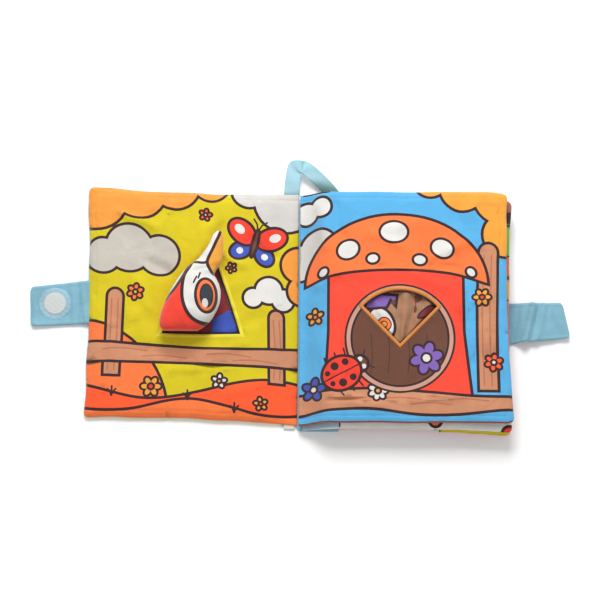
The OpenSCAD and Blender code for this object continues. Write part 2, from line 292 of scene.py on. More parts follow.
def butterfly(x, y, r, turn, upper, lower, spots):
    """Four wings and a body."""
    at = turned(x, y, r, turn)
    drawing = []
    for side in (-1, 1):
        for u, v, rx, ry, tilt, tint in ((0.5, -0.42, 0.46, 0.36, -38, lower),
                                         (0.62, 0.35, 0.66, 0.46, 32, upper)):
            wing = oval(*at(side * u, v), rx * r, ry * r, turn + side * tilt)
            drawing += inked([wing], tint)
        drawing += [(oval(*at(side * 0.74, 0.44), 0.24 * r, 0.17 * r, turn + side * 32, 20), spots),
                    (circle(*at(side * 0.52, -0.44), 0.14 * r, 16), spots)]
        drawing += stroke([at(0, 0.5), at(side * 0.1, 0.8), at(side * 0.28, 0.98)], 1.3, INK)
    return drawing + inked([oval(x, y, 0.12 * r, 0.6 * r, turn)], BROWN)


def ladybird(x, y, r, turn):
    """Legs and feelers, a head with two eyes, and a spotted back."""
    at = turned(x, y, r, turn)
    drawing = []
    for side in (-1, 1):
        for u in (-0.5, 0.05, 0.55):
            drawing += stroke([at(u, side * 0.6), at(u + 0.1, side * 1.05)], 1.3, INK)
        drawing += stroke([at(1.2, side * 0.15), at(1.55, side * 0.5)], 1.0, INK)
    drawing += inked([circle(*at(1.0, 0), 0.42 * r, 24)], BROWN)
    drawing += [(circle(*at(1.12, side * 0.2), 0.12 * r, 14), WHITE) for side in (-1, 1)]
    drawing += inked([oval(x, y, r, 0.84 * r, turn)], RED)
    drawing += stroke([at(-1, 0), at(0, 0), at(1, 0)], 1.0, INK)
    for u, v, size in ((0.42, 0.42, 0.17), (-0.15, 0.45, 0.2), (-0.62, 0.28, 0.13)):
        drawing += [(circle(*at(u, side * v), size * r, 18), INK) for side in (-1, 1)]
    return drawing


def post(x, low, high, width, lean=0.0):
    """A wooden post with a round top and lines of grain."""
    half = width / 2
    angles = [math.pi * i / 10 for i in range(11)]
    top = [(x + lean + half * math.cos(a), high + half * math.sin(a)) for a in angles]
    drawing = inked([[(x - half, low), (x + half, low)] + top], TAN)
    for share in (-0.2, 0.18):
        line = spline([(x + share * width, low + 4), (x + share * width + 0.8, mix(low, high, 0.5)),
                       (x + lean + share * width, high - 2)], steps=5)
        drawing += stroke(line, GRAIN_LINE, BARK)
    return drawing


def grain(starts, middle, end):
    """Lines of grain along a rail, each from its start through the same two steps."""
    drawing = []
    for x, y in starts:
        points = [(x + dx, y + dy) for dx, dy in ((0, 0), middle, end)]
        drawing += stroke(spline(points, steps=6), GRAIN_LINE, BARK)
    return drawing


def band(left, right, level, height, waves, floor, phase=0.0, n=40):
    """Ground with a wavy top."""
    top = []
    for i in range(n + 1):
        wave = math.sin(2 * math.pi * (waves * i / n + phase))
        top.append((mix(right, left, i / n), level + height * wave))
    return [(left, floor), (right, floor)] + top


def grass(x, y, s):
    drawing = []
    for lean, tall in ((-0.5, 0.8), (0.0, 1.2), (0.5, 0.85)):
        blade = [(x, y), (x + lean * s * 0.4, y + tall * s * 0.6), (x + lean * s, y + tall * s)]
        drawing += stroke(blade, 1.4, INK)
    return drawing


# The pictures run past the page's edges, and are cut by them
BLEED = 12.0
TOP = PAGE_H / 2 + BLEED
OUT = PAGE_W + BLEED


def front_inside_art():
    art = [(band(-OUT, BLEED, TOP, 0, 1, -TOP), YELLOW)]
    art += puffs([(-10, 84, 25), (-38, 92, 14)], CREAM)
    art += puffs([(-158, 84, 28), (-124, 90, 23), (-95, 94, 19), (-68, 98, 15)], ORANGE)
    art += puffs([(-151, 36, 14), (-131, 43, 19), (-108, 38, 16)], BEIGE)
    art += puffs([(-35, 7, 8), (-23, 13, 11), (-12, 6, 9)], WHITE)
    art += puffs([(0, 34, 14), (3, 14, 12)], ORANGE)
    art += inked([oval(-172, -92, 74, 78, 0, 60)], CORAL)
    art += inked([band(-OUT, BLEED, -66, 9, 1, -TOP, 0.08)], FLAME)
    art += inked([band(-OUT, BLEED, -80, 5, 1.5, -TOP, 0.5)], CORAL)
    art += post(-143, -58, 4, 13, 1.5)
    art += post(-16, -60, -8, 12, -1.0)
    art += inked([band(-OUT, BLEED, -33, 1.6, 1, -47, 0.3)], TAN)
    art += grain(((-150, -37.5), (-120, -42.5), (-70, -39.5), (-50, -43.5)), (16, 1.2), (34, -0.4))
    art += butterfly(-34, 50, 19, -14, RED, BLUE, WHITE)
    art += flowers((-126, 8, 6.5, 6, CORAL, YELLOW, 20), (-72, 72, 5, 5, FLAME, WHITE, 5),
                   (-52, 30, 4.2, 5, ORANGE, RED, 40), (-112, -66, 8, 6, GOLD, RED),
                   (-60, -60, 6, 5, WHITE, GOLD, 12), (-28, -76, 5.5, 5, GOLD, FLAME, 30))
    for x, y in ((-142, -74), (-84, -76), (-48, -84)):
        art += grass(x, y, 6.5)
    return art


def leaf_top_art():
    art = [(band(-BLEED, OUT, TOP, 0, 1, -TOP), SKY)]
    art += puffs([(0, 36, 15), (16, 46, 15), (32, 40, 11)], CREAM)
    art += puffs([(6, 74, 9), (17, 78, 8)], WHITE)
    art += puffs([(157, 88, 25), (126, 93, 19), (101, 98, 13), (157, 56, 17)], GOLD)
    art += inked([[(20, -72), (23, -20), (23, 30), (126, 30), (126, -20), (130, -72)]], ROSE)
    art += post(142, -66, 42, 15, 3)
    angles = [math.pi * i / 40 for i in range(41)]
    cap = [(75 + 70 * math.cos(a), 16 + 56 * math.sin(a)) for a in angles]
    brim = spline([(5, 16), (34, 25), (75, 28), (116, 25), (145, 16)], steps=6)
    art += inked([cap + brim[1:-1]], CORAL)
    for spot in ((38, 44, 9, 7.5, 30), (73, 58, 11, 8.5, 0), (110, 45, 9, 7.5, -30),
                 (57, 37, 5, 4.2, 10), (93, 36, 5.4, 4.4, -10), (19, 26, 4.5, 3.6, 50),
                 (132, 26, 4.5, 3.6, -50)):
        art += inked([oval(*spot)], WHITE, LINE * 0.9)
    art += flowers((140, 6, 7, 6, GOLD, RED, 0), (13, -8, 6.5, 5, GOLD, CORAL, 20))
    art += inked([band(-BLEED, OUT, -67, 3, 1, -TOP, 0.6)], TAN)
    art += inked([band(-BLEED, OUT, -82, 2.5, 1.5, -TOP, 0.2)], SKY)
    art += grain(((62, -72), (84, -76), (112, -73)), (14, 1), (30, -0.6))
    art += flowers((12, -64, 9, 5, BLUE, WHITE, 8), (60, -66, 7.5, 7, WHITE, GOLD, 0),
                   (147, -44, 7, 6, FLAME, WHITE, 18))
    # Painted shadow: a dark strip in the ink colour along the head edge near the fold
    art += [([(3, 88.7), (24, 89.2), (24, 96), (3, 96)], INK)]
    return art + [(band(-BLEED, OUT, -88.8, 0, 1, -TOP), RUST)]


def door_art():
    """The round door, drawn as seen from above so that it keeps to the window."""
    x, y = DOOR_AT
    art = [(circle(x, y, DOOR_R + 0.5, 72), INK), (circle(x, y, DOOR_R - 1.1, 72), RING),
           (circle(x, y, DOOR_R - 4.0, 72), INK), (circle(x, y, DOOR_R - 5.6, 72), BROWN)]
    for dx in (-22, -9, 6, 20):
        line = spline([(x + dx, y - 27), (x + dx + 1.2, y - 12), (x + dx, y + 4)], steps=5)
        art += stroke(line, 0.8, hex_rgb("55342A"))
    art += flower(x + 20, y - 15, 12.5, 6, PURPLE, WHITE, 15)
    art += ladybird(x - 44, y - 27, 15.5, 28)
    return [(on_page(TOP_SURFACE, shape), tint) for shape, tint in art]


def plain_art(base, fields, blocks=()):
    """A page that shows only its edges: plain ground with a few round fields and a few blocks."""
    art = [(band(-OUT, OUT, TOP, 0, 1, -TOP), base)]
    for (ax, ay), (bx, by), tint in blocks:
        art += inked([[(ax, ay), (bx, ay), (bx, by), (ax, by)]], tint, LINE * 0.5)
    for x, y, r, tint in fields:
        art += inked([circle(x, y, r, 48)], tint)
    return art


def front_outside_art():
    art = [(band(-OUT, BLEED, TOP, 0, 1, -TOP), SKY)]
    art += puffs([(-150, 60, 15), (-130, 68, 19), (-108, 60, 14)], WHITE)
    art += inked([circle(-40, 52, 24, 60)], GOLD)
    art += inked([band(-OUT, BLEED, -40, 12, 1, -TOP, 0.1)], CORAL)
    art += inked([band(-OUT, BLEED, -62, 7, 1.5, -TOP, 0.6)], YELLOW)
    art += butterfly(-92, 8, 30, 8, RED, PURPLE, WHITE)
    return art + flowers((-140, -56, 10, 6, WHITE, GOLD), (-60, -70, 11, 6, RED, GOLD),
                         (-25, -50, 9, 6, BLUE, GOLD))


def back_outside_art():
    art = [(band(-BLEED, OUT, TOP, 0, 1, -TOP), YELLOW)]
    art += inked([band(-BLEED, OUT, -48, 8, 1.5, -TOP, 0.3)], CORAL)
    art += inked([circle(118, 56, 20, 48)], ORANGE)
    art += puffs([(60, 50, 10), (76, 58, 14), (92, 50, 10)], WHITE)
    art += ladybird(96, -8, 22, 20)
    return art + flowers((50, -62, 10, 6, WHITE, GOLD), (140, -66, 9, 6, RED, GOLD))


# Making objects

def add_object(name, data):
    made = bpy.data.objects.new(name, data)
    bpy.context.collection.objects.link(made)
    return made


def closed_piece(name, points, faces):
    """A smooth piece from points in millimetres, with its faces turned outwards."""
    mesh = bpy.data.meshes.new(name)
    mesh.from_pydata((np.array(points, float) * MM).tolist(), [], faces)
    bm = bmesh.new()
    bm.from_mesh(mesh)
    bmesh.ops.recalc_face_normals(bm, faces=bm.faces)
    for face in bm.faces:
        face.smooth = True
    bm.to_mesh(mesh)
    bm.free()
    return add_object(name, mesh)


# Soft forms

def edge_distance(u, v, w):
    return np.minimum(w - u, PAGE_H / 2 - np.abs(v))


# How far a sewn edge wavers at its side and at its head and foot, and how far in that fades out
WAVER_OUT = 0.3
WAVER_UP = 0.26
WAVER_RUN = 40.0


def place(u, v, w, lie, seed):
    """Rounds the outer corners, draws the sides in and moves the panel up or down, as in the solids.
    A sewn edge is never quite straight, so it wavers a little."""
    a = (u - w) / CORNER_R + 1
    b = (np.abs(v) - PAGE_H / 2) / CORNER_R + 1
    corner = (a > 0) & (b > 0)
    a1 = np.clip(a, 0, 1)
    b1 = np.clip(b, 0, 1)
    u1 = np.where(corner, w + CORNER_R * (a1 * np.sqrt(1 - b1 * b1 / 2) - 1), u)
    v1 = np.where(corner, PAGE_H / 2 + CORNER_R * (b1 * np.sqrt(1 - a1 * a1 / 2) - 1), np.abs(v))
    x = u1 * (1 - SIDE_DRAW / w * (1 - (2 * v / PAGE_H) ** 2))
    y = np.sign(v) * v1 * (1 - 2 * SIDE_DRAW / PAGE_H * (1 - (2 * u / w - 1) ** 2))
    still = u * 0.0
    x = x + WAVER_OUT * waves(v, still + 5, seed, 34.0, 4) * smooth((u - w + WAVER_RUN) / WAVER_RUN)
    y = y + (WAVER_UP * waves(u, still, seed + 1, 30.0, 4)
             * smooth((np.abs(v) - PAGE_H / 2 + WAVER_RUN) / WAVER_RUN) * smooth(u / 12))
    return x, y + mix(lie[0], lie[1], u / w)


# Steps of the search for a place on a page, which moves by what is left of the miss each time
PLACE_STEPS = 12


def on_page(surface, points, sign=1):
    """The page places of points that are given as seen from above."""
    p = np.array(points, float)
    u, v = sign * p[:, 0], p[:, 1].copy()
    for _ in range(PLACE_STEPS):
        x, y, _ = surface(u, v, 1)
        u = u + sign * (p[:, 0] - x)
        v = v + p[:, 1] - y
    return [(sign * float(a), float(b)) for a, b in zip(u, v)]


PAD_CELL = 4.0
PAD_FRAMES = 18
# The wadding holds the two cloths this far apart, however hard they are blown
PAD_GAP = 5.0
PAD_FULL = math.tanh(2.2)


def round_edge(d):
    """A pad's height by the distance from its seam, as a share: a quarter circle, then level."""
    return np.sqrt(np.clip(1 - (1 - np.clip(d / PAD_RUN, 0, 1)) ** 2, 0, 1))


def blown_pad(seed):
    """How full a sewn pad is, as a grid over the page: 0 at its seams and about 1 in the middle.

    A thin envelope of cloth, sewn all round, is blown up by the cloth simulation."""
    nu = int(PAGE_W / PAD_CELL)
    nv = int(PAGE_H / PAD_CELL)
    us = np.linspace(0, PAGE_W, nu + 1)
    vs = np.linspace(-PAGE_H / 2, PAGE_H / 2, nv + 1)
    gu, gv = np.meshgrid(us, vs, indexing="ij")
    rng = np.random.default_rng(seed)
    start = 0.6 + 0.5 * rng.random(gu.shape)
    mesh = bpy.data.meshes.new("pad")
    index = {}
    points = []
    for side in (1, -1):
        for i in range(nu + 1):
            for j in range(nv + 1):
                border = i in (0, nu) or j in (0, nv)
                if border and side < 0:
                    index[side, i, j] = index[1, i, j]
                    continue
                index[side, i, j] = len(points)
                z = 0.0 if border else side * start[i, j]
                points.append((gu[i, j] * MM, gv[i, j] * MM, z * MM))
    faces = []
    for side in (1, -1):
        for i in range(nu):
            for j in range(nv):
                corners = ((i, j), (i + 1, j), (i + 1, j + 1), (i, j + 1))
                faces.append([index[side, a, b] for a, b in corners[::side]])
    mesh.from_pydata(points, [], faces)
    pad = add_object("pad", mesh)
    cloth = pad.modifiers.new("cloth", "CLOTH")
    settings = cloth.settings
    settings.quality = 7
    settings.mass = 0.25
    settings.tension_stiffness = 25
    settings.compression_stiffness = 25
    settings.shear_stiffness = 12
    settings.bending_stiffness = 0.25
    settings.use_pressure = True
    settings.uniform_pressure_force = 3.5
    settings.effector_weights.gravity = 0
    cloth.collision_settings.use_collision = False
    scene = bpy.context.scene
    for frames in (scene, cloth.point_cache):
        frames.frame_start, frames.frame_end = 1, PAD_FRAMES
    for f in range(1, PAD_FRAMES + 1):
        scene.frame_set(f)
    blown = pad.evaluated_get(bpy.context.evaluated_depsgraph_get())
    co = np.array([v.co for v in blown.data.vertices]) / MM
    scene.frame_set(1)
    high, low = [np.array([[co[index[side, i, j]][2] for j in range(nv + 1)]
                           for i in range(nu + 1)]) for side in (1, -1)]
    bpy.data.objects.remove(pad)
    bpy.data.meshes.remove(mesh)
    return us, vs, np.tanh((high - low) / PAD_GAP) / PAD_FULL


def sample(grid, u, v):
    """Smooth reading of a grid at any place on the page."""
    us, vs, values = grid
    fu = np.clip((u - us[0]) / (us[1] - us[0]), 0, len(us) - 1.001)
    fv = np.clip((v - vs[0]) / (vs[1] - vs[0]), 0, len(vs) - 1.001)
    i, j = fu.astype(int), fv.astype(int)
    a, b = fu - i, fv - j
    return ((values[i, j] * (1 - a) + values[i + 1, j] * a) * (1 - b)
            + (values[i, j + 1] * (1 - a) + values[i + 1, j + 1] * a) * b)


def within(places, outline):
    """Which places lie in an outline, also where it crosses itself."""
    p = np.array(outline, float)
    low, high = p.min(axis=0), p.max(axis=0)
    near = np.nonzero(np.all((places > low) & (places < high), axis=1))[0]
    x, y = places[near, 0], places[near, 1]
    turns = np.zeros(len(near), int)
    for (ax, ay), (bx, by) in zip(p, np.roll(p, -1, axis=0)):
        left = (bx - ax) * (y - ay) - (x - ax) * (by - ay)
        turns += (ay <= y) & (by > y) & (left > 0)
        turns -= (ay > y) & (by <= y) & (left < 0)
    found = np.zeros(len(places), bool)
    found[near] = turns != 0
    return found


def painted(places, art):
    """The colour of each place: that of the last shape that covers it."""
    colours = np.zeros((len(places), 3))
    for shape, tint in art:
        colours[within(places, shape)] = tint
    return colours


def waves(u, v, seed, length, count=7):
    """Soft unevenness: a sum of a few long waves."""
    rng = np.random.default_rng(seed)
    total = np.zeros_like(u)
    for _ in range(count):
        a = rng.uniform(0, 2 * math.pi)
        k = 2 * math.pi / (length * rng.uniform(0.6, 1.6))
        total += np.sin(k * (u * math.cos(a) + v * math.sin(a)) + rng.uniform(0, 2 * math.pi))
    return total / math.sqrt(count)


def fullness(grid, u, v, w, seed):
    """The share of the padding's height at a place, with puckers that run in from the seams."""
    d = edge_distance(u, v, w)
    blown = np.clip(sample(grid, u * PAGE_W / w, v), 0, 1.15)
    share = round_edge(d) * mix(0.9, blown, 0.55)
    along = np.where(w - u < PAGE_H / 2 - np.abs(v), v, u)
    pucker = waves(along, d * 0.3, seed, 9.0, 5) * np.exp(-d / 7.0) * np.clip(d / 2.0, 0, 1)
    return (share + 0.10 * pucker + 0.05 * waves(u, v, seed + 1, 36.0)
            + 0.02 * waves(u, v, seed + 2, 13.0))


def stitch_groove(d):
    return 0.45 * np.exp(-((d - STITCH_IN) / 0.8) ** 2)


PADS = [blown_pad(11), blown_pad(23)]

CREASE_HIGH = 2.3


def creases(u, v, seed, lines):
    """Soft folds along given lines: each from one point to another, this high and this wide."""
    z = 0.0
    bend = 1.3 * waves(u, v, seed, 26.0, 4)
    for (ax, ay), (bx, by), high, wide in lines:
        ex, ey = bx - ax, by - ay
        length = math.hypot(ex, ey)
        along = ((u - ax) * ex + (v - ay) * ey) / length ** 2
        across = ((u - ax) * ey - (v - ay) * ex) / length + bend
        fade = smooth((along + 0.12) / 0.3) * smooth((1.12 - along) / 0.3)
        z = z + CREASE_HIGH * high * fade * np.exp(-(across / wide) ** 2)
    return z


FRONT_CREASES = [
    ((58, 66), (72, 30), -1.3, 3.0), ((66, 68), (80, 34), 1.2, 2.8), ((44, 40), (52, 8), 0.6, 3.5),
    ((112, 74), (118, 40), -0.7, 4.0), ((126, 20), (112, -8), 0.6, 4.0),
    ((20, 60), (26, 20), -0.5, 4.5), ((36, -30), (74, -40), 0.6, 3.2),
    ((80, -44), (130, -34), -0.7, 3.6), ((20, -60), (60, -72), 0.5, 4.0),
    ((140, -20), (150, -70), 0.6, 4.0), ((98, 84), (104, 60), 0.6, 2.6),
    ((30, 84), (36, 66), 0.5, 2.4), ((10, 10), (12, -50), -0.5, 4.0),
    ((40, 30), (64, 44), 1.0, 3.0), ((98, 22), (120, 36), -1.0, 3.2),
    ((60, -48), (100, -54), 0.9, 3.0), ((122, -8), (150, -20), 0.9, 3.4),
    ((14, 40), (40, 54), -0.9, 3.0), ((108, 58), (142, 72), 0.9, 3.4),
    ((26, -4), (48, -18), -0.8, 3.0)]
LEAF_CREASES = [
    ((14, 82), (20, 44), 0.7, 3.4), ((24, 84), (34, 50), -0.7, 3.2),
    ((120, 80), (128, 30), -0.8, 4.0), ((133, 84), (139, 44), 0.7, 3.4),
    ((146, 20), (140, -40), 0.6, 4.0), ((112, 10), (122, -10), -0.5, 3.2),
    ((30, -30), (44, -62), -0.5, 3.6), ((60, 60), (96, 66), 0.5, 4.0),
    ((70, -74), (120, -70), 0.6, 3.4), ((16, -20), (12, -60), 0.5, 3.6),
    ((84, 26), (112, 14), 0.5, 3.4), ((40, 22), (60, 12), -0.5, 3.4),
    ((98, 34), (130, 52), 0.9, 3.4), ((10, 8), (34, 22), -0.9, 3.0),
    ((30, -72), (70, -78), 0.8, 3.0), ((124, -46), (152, -34), -0.9, 3.4),
    ((50, 56), (84, 46), 0.8, 3.2), ((118, -2), (150, 8), 0.8, 3.2)]


def front_surface(u, v, side):
    """The front cover, from the fold to its fore edge, on the left."""
    d = edge_distance(u, v, PAGE_W)
    f = fullness(PADS[0], u, v, PAGE_W, 31)
    near = smooth((u - 2) / (SPINE_RUN - SPINE_LOW[0]))
    low_rest = mix(1.3, 0.25, smooth((u - 10) / 10))
    top_full = mix(3.4, COVER_T + 0.1, near)
    fold_in = np.clip(u / 3.0, 0, 1)
    if side > 0:
        relief = creases(u, v, 33, FRONT_CREASES) * smooth(d / 8)
        full = f * (0.5 + 0.5 * fold_in)
        z = mix(COVER_SEAM + SEAM_HALF, top_full, full) - stitch_groove(d) + relief
    else:
        full = np.clip(f, 0, 1) * fold_in
        z = mix(COVER_SEAM - SEAM_HALF, low_rest, full) + 0.3 * stitch_groove(d)
    x, y = place(u, v, PAGE_W, FRONT_LIE, 201)
    return -x, y, z


def leaf_levels(k, u):
    sewn = SEAM_LIFT + SEAM_T + LIE_GAP + k * (SEAM_T + LIE_GAP)
    low = COVER_T + LIE_GAP + k * (LEAF_T + LIE_GAP)
    s = smooth(u / FOLD_RUN)
    return mix(sewn, low, s), mix(SEAM_T, LEAF_T, s)


def leaf_start(k):
    """How far a leaf starts from the fold."""
    return BOUND_X + (0 if k == TOP_LEAF else LEAF_STAGGER)


def leaf_surface(k):
    is_top = k == TOP_LEAF
    start = leaf_start(k)
    slant = LEAF_SLANT if is_top else 0.0

    def surface(u, v, side):
        d = edge_distance(u, v, LEAF_W)
        f = fullness(PADS[k % 2], u, v, LEAF_W, 51 + 10 * k)
        bottom, full = leaf_levels(k, u)
        half = mix(SEAM_T * 0.5, full, np.clip(f, 0, 1.1)) / 2
        # The fore edge of a soft leaf hangs a little
        hang = 0.6 + 0.4 * waves(v, v * 0, 61 + k, 90.0, 3)
        droop = 0.9 * smooth((u - LEAF_W + 40) / 40) ** 2 * hang
        relief = creases(u, v, 53, LEAF_CREASES) * smooth(d / 8) if is_top and side > 0 else 0.0
        sag = droop * (0.25 + 0.25 * k)
        z = bottom + full / 2 + side * (half - stitch_groove(d)) - sag + relief
        x, y = place(u, v, LEAF_W, TOP_LIE if is_top else BACK_LIE, 211 + 10 * k)
        if is_top:
            # The top leaf lies taut: its head and foot hardly draw in, and it reaches further out
            across = u / LEAF_W
            y = y + v * 0.022 * (1 - (2 * across - 1) ** 2) + 1.2 * across
            # Its head is a little lower than that, most of all at the outer corner
            y = y - smooth(v / 60) * (1.2 + 1.4 * smooth((across - 0.9) / 0.1))
            x = x + 1.3 * across ** 3
        lean = np.where(v > 0, 0.5, 1.0)
        return x + start - slant * lean * u / LEAF_W * 2 * v / PAGE_H, y, z
    return surface


def back_surface(u, v, side):
    """The back cover, from the spine's edge to its fore edge."""
    d = edge_distance(u, v, PAGE_W)
    f = fullness(PADS[1], u, v, PAGE_W, 71)
    full = mix(SEAM_LIFT + SEAM_T, COVER_T, smooth((u - SPINE_HIGH[0]) / SPINE_RUN))
    if side > 0:
        z = mix(COVER_SEAM + SEAM_HALF, full, np.clip(f, 0, 1)) - stitch_groove(d)
    else:
        z = mix(COVER_SEAM - SEAM_HALF, 0.15, np.clip(f, 0, 1)) + 0.3 * stitch_groove(d)
    x, y = place(u, v, PAGE_W, BACK_LIE, 251)
    return x, y, z


# Distances between the places of a panel's mesh, in its middle and where the cover bends
MESH_STEP = 3.2
BEND_STEP = 0.8


def stations(start, end):
    """Places across a page: close together near its edges, where the form bends."""
    near = np.array([0, 0.5, 1.3, 2.3, 3.4, 4.4, 5.0, 5.6, 6.8, 8.2, 10.0])
    first = start + near
    last = end - near[::-1]
    steps = int((last[0] - first[-1]) / MESH_STEP)
    middle = np.linspace(first[-1], last[0], steps + 1)[1:-1]
    return np.concatenate([first, middle, last])


# Drawn lines and points that come closer than this are joined, so that few slivers are left
SNAP = 0.06


def printed_mesh(name, outline, grid_points, top_art, bottom_art, surface, sign=1):
    """A closed panel whose two faces carry their own drawings, cut exactly along the drawn lines.

    surface(u, v, side) gives a point's place in millimetres, where u is sign times the drawn x."""
    points = []
    edges = []
    for shape in [outline] + [s for s, _ in top_art + bottom_art]:
        first, count = len(points), len(shape)
        edges += [(first + i, first + (i + 1) % count) for i in range(count)]
        points += [Vector(p) for p in shape]
    points += [Vector(p) for p in grid_points]
    found = delaunay_2d_cdt(points, edges, [], 0, SNAP, False)
    places = np.array([p[:] for p in found[0]])
    u, v = sign * places[:, 0], places[:, 1]
    cells = np.array([list(f) for f in found[2]])
    middles = places[cells].mean(axis=1)
    inside = within(middles, outline)
    cells, middles = cells[inside], middles[inside]
    n = len(places)
    colours = np.concatenate([painted(middles, top_art), painted(middles, bottom_art)])
    polygons = np.concatenate([cells, cells[:, ::-1] + n]).tolist()
    upper = np.stack(surface(u, v, 1), axis=1)
    lower = np.stack(surface(u, v, -1), axis=1)
    mesh = bpy.data.meshes.new(name)
    mesh.from_pydata((np.concatenate([upper, lower]) * MM).tolist(), [], polygons)
    layer = mesh.color_attributes.new("print_and_painted_shade", "FLOAT_COLOR", "CORNER")
    values = np.ones((len(mesh.loops), 4), np.float32)
    values[:, :3] = np.repeat(colours, 3, axis=0)
    layer.data.foreach_set("color", values.ravel())
    # The two faces are sewn together round the outline
    sides = np.sort(np.concatenate([cells[:, [0, 1]], cells[:, [1, 2]], cells[:, [2, 0]]]), axis=1)
    pairs_found, times = np.unique(sides, axis=0, return_counts=True)
    rim = set(pairs_found[times == 1].ravel().tolist())
    bm = bmesh.new()
    bm.from_mesh(mesh)
    bm.verts.ensure_lookup_table()
    pairs = {bm.verts[n + i]: bm.verts[i] for i in rim}
    for i in rim:
        bm.verts[i].co = (bm.verts[i].co + bm.verts[n + i].co) / 2
    bmesh.ops.weld_verts(bm, targetmap=pairs)
    loose = [w for w in bm.verts if not w.link_faces]
    bmesh.ops.delete(bm, geom=loose, context="VERTS")
    for face in bm.faces:
        face.smooth = True
    bm.to_mesh(mesh)
    bm.free()
    return add_object(name, mesh)


def page_outline(start, w, sign=1, bends_to=0.0):
    """The edge of a page, walked round, and the places within it. They are close enough for a
    smooth curve, also where the page bends, which is as far as bends_to."""
    us = stations(start, w)
    if bends_to:
        us = np.concatenate([np.arange(start, bends_to, BEND_STEP), us[us > bends_to]])
    vs = stations(-PAGE_H / 2, PAGE_H / 2)
    walk = ([(u, vs[0]) for u in us[:-1]] + [(us[-1], v) for v in vs[:-1]]
            + [(u, vs[-1]) for u in us[:0:-1]] + [(us[0], v) for v in vs[:0:-1]])
    inner = [(u, v) for u in us[1:-1] for v in vs[1:-1]]
    return [(sign * u, v) for u, v in walk], [(sign * u, v) for u, v in inner]


# Materials

def new_material(name):
    material = bpy.data.materials.new(name)
    material.use_nodes = True
    tree = material.node_tree
    tree.nodes.clear()
    out = tree.nodes.new("ShaderNodeOutputMaterial")
    shader = tree.nodes.new("ShaderNodeBsdfPrincipled")
    tree.links.new(shader.outputs["BSDF"], out.inputs["Surface"])
    return material, tree, shader


def connect(tree, made, values):
    """Sets a node's inputs and properties. A value that is another node's output is linked in."""
    for key, value in values.items():
        if isinstance(value, bpy.types.NodeSocket):
            tree.links.new(value, made.inputs[key])
        elif key in made.inputs:
            made.inputs[key].default_value = value
        else:
            setattr(made, key, value)
    return made


def node(tree, kind, **values):
    return connect(tree, tree.nodes.new(kind), values)


def plain_colour(tree, tint):
    made = node(tree, "ShaderNodeRGB")
    made.outputs[0].default_value = (*tint, 1)
    return made.outputs[0]


def spread(tree, value, low, high, start=0.0, end=1.0):
    """A value that runs from start to end, made to run from low to high."""
    ends = {"From Min": start, "From Max": end, "To Min": low, "To Max": high}
    return node(tree, "ShaderNodeMapRange", Value=value, **ends).outputs[0]


def product(tree, a, b):
    made = node(tree, "ShaderNodeMath", operation="MULTIPLY")
    tree.links.new(a, made.inputs[0])
    tree.links.new(b, made.inputs[1])
    return made.outputs[0]


def scaled(tree, colour, share):
    made = node(tree, "ShaderNodeVectorMath", operation="SCALE", Vector=colour, Scale=share)
    return made.outputs[0]


# Ridges of a wave texture in one unit, at a scale of 1
RIDGES = 3.18


def weave_height(tree, where, pitch_mm):
    """Threads that cross over and under each other, from two sets of ridges."""
    ridges = [node(tree, "ShaderNodeTexWave", wave_type="BANDS", bands_direction=direction,
                   Vector=where, Scale=1 / (pitch_mm * MM) / RIDGES, Distortion=0.6, Detail=1.0)
              for direction in ("X", "Y")]
    return product(tree, *[ridge.outputs["Fac"] for ridge in ridges])


def cloth_material(name, tint=None, pitch=0.55, roughness=0.82, sheen=0.25, crease=0.5, weave=0.25,
                   vary=0.08):
    """Woven cloth. With no tint of its own it takes the colours stored on the mesh: the print, and
    on the ribbon its painted shade.
    """
    material, tree, shader = new_material(name)
    where = node(tree, "ShaderNodeTexCoord").outputs["Object"]
    threads = weave_height(tree, where, pitch)
    if tint is None:
        colour = node(tree, "ShaderNodeAttribute", attribute_name="print_and_painted_shade").outputs["Color"]
    else:
        colour = plain_colour(tree, tint)
    cloud = node(tree, "ShaderNodeTexNoise", Vector=where, Scale=60.0, Detail=5.0, Roughness=0.6)
    level = spread(tree, cloud.outputs["Fac"], 1 - vary, 1 + vary * 0.4, 0.3, 0.7)
    shade = product(tree, level, spread(tree, threads, 0.93, 1.03))
    folds = node(tree, "ShaderNodeTexNoise", Vector=where, Scale=38.0, Detail=3.0, Roughness=0.5,
                 Distortion=0.6)
    soft = node(tree, "ShaderNodeBump", Strength=crease, Distance=0.0022,
                Height=folds.outputs["Fac"])
    fine = node(tree, "ShaderNodeBump", Strength=weave, Distance=0.00012, Height=threads,
                Normal=soft.outputs["Normal"])
    connect(tree, shader, {
        "Base Color": scaled(tree, colour, shade), "Roughness": roughness, "Sheen Weight": sheen,
        "Sheen Roughness": 0.5, "Specular IOR Level": 0.25, "Normal": fine.outputs["Normal"]})
    return material


PRINTED = cloth_material("printed_cloth", crease=0.85)
PLUSH = cloth_material("head_cloth", pitch=0.45, roughness=0.9, sheen=0.45, crease=0.35)
STRAP_CLOTH = cloth_material("strap_cloth", STRAP, pitch=0.5, sheen=0.3, crease=0.6, weave=0.4,
                             vary=0.14)
# The ribbon's base colour comes from its mesh, where its painted shade is stored
RIBBON_CLOTH = cloth_material("ribbon_cloth", pitch=0.7, roughness=0.6, sheen=0.3, crease=0.15,
                              weave=0.6)
SPINE_CLOTH = cloth_material("spine_cloth", hex_rgb("8FBFD8"), sheen=0.2)
BINDING_CLOTH = cloth_material("binding_tape", BINDING, pitch=0.9, crease=0.2, weave=0.8, vary=0.15)
LABEL_CLOTH = cloth_material("label_satin", WHITE, pitch=0.3, roughness=0.5, crease=0.1)


def dress(piece, material):
    piece.data.materials.clear()
    piece.data.materials.append(material)


# The pages

POCKET_FOOT = LINING_LOW[1] - 0.3
POCKET_HALF = (LINING_HIGH[0] - LINING_LOW[0]) / 2 + 0.5
POCKET_X = (LINING_HIGH[0] + LINING_LOW[0]) / 2
POCKET_TOP = LINING_HIGH[1] + 0.6
POCKET_LEAN = 8.0


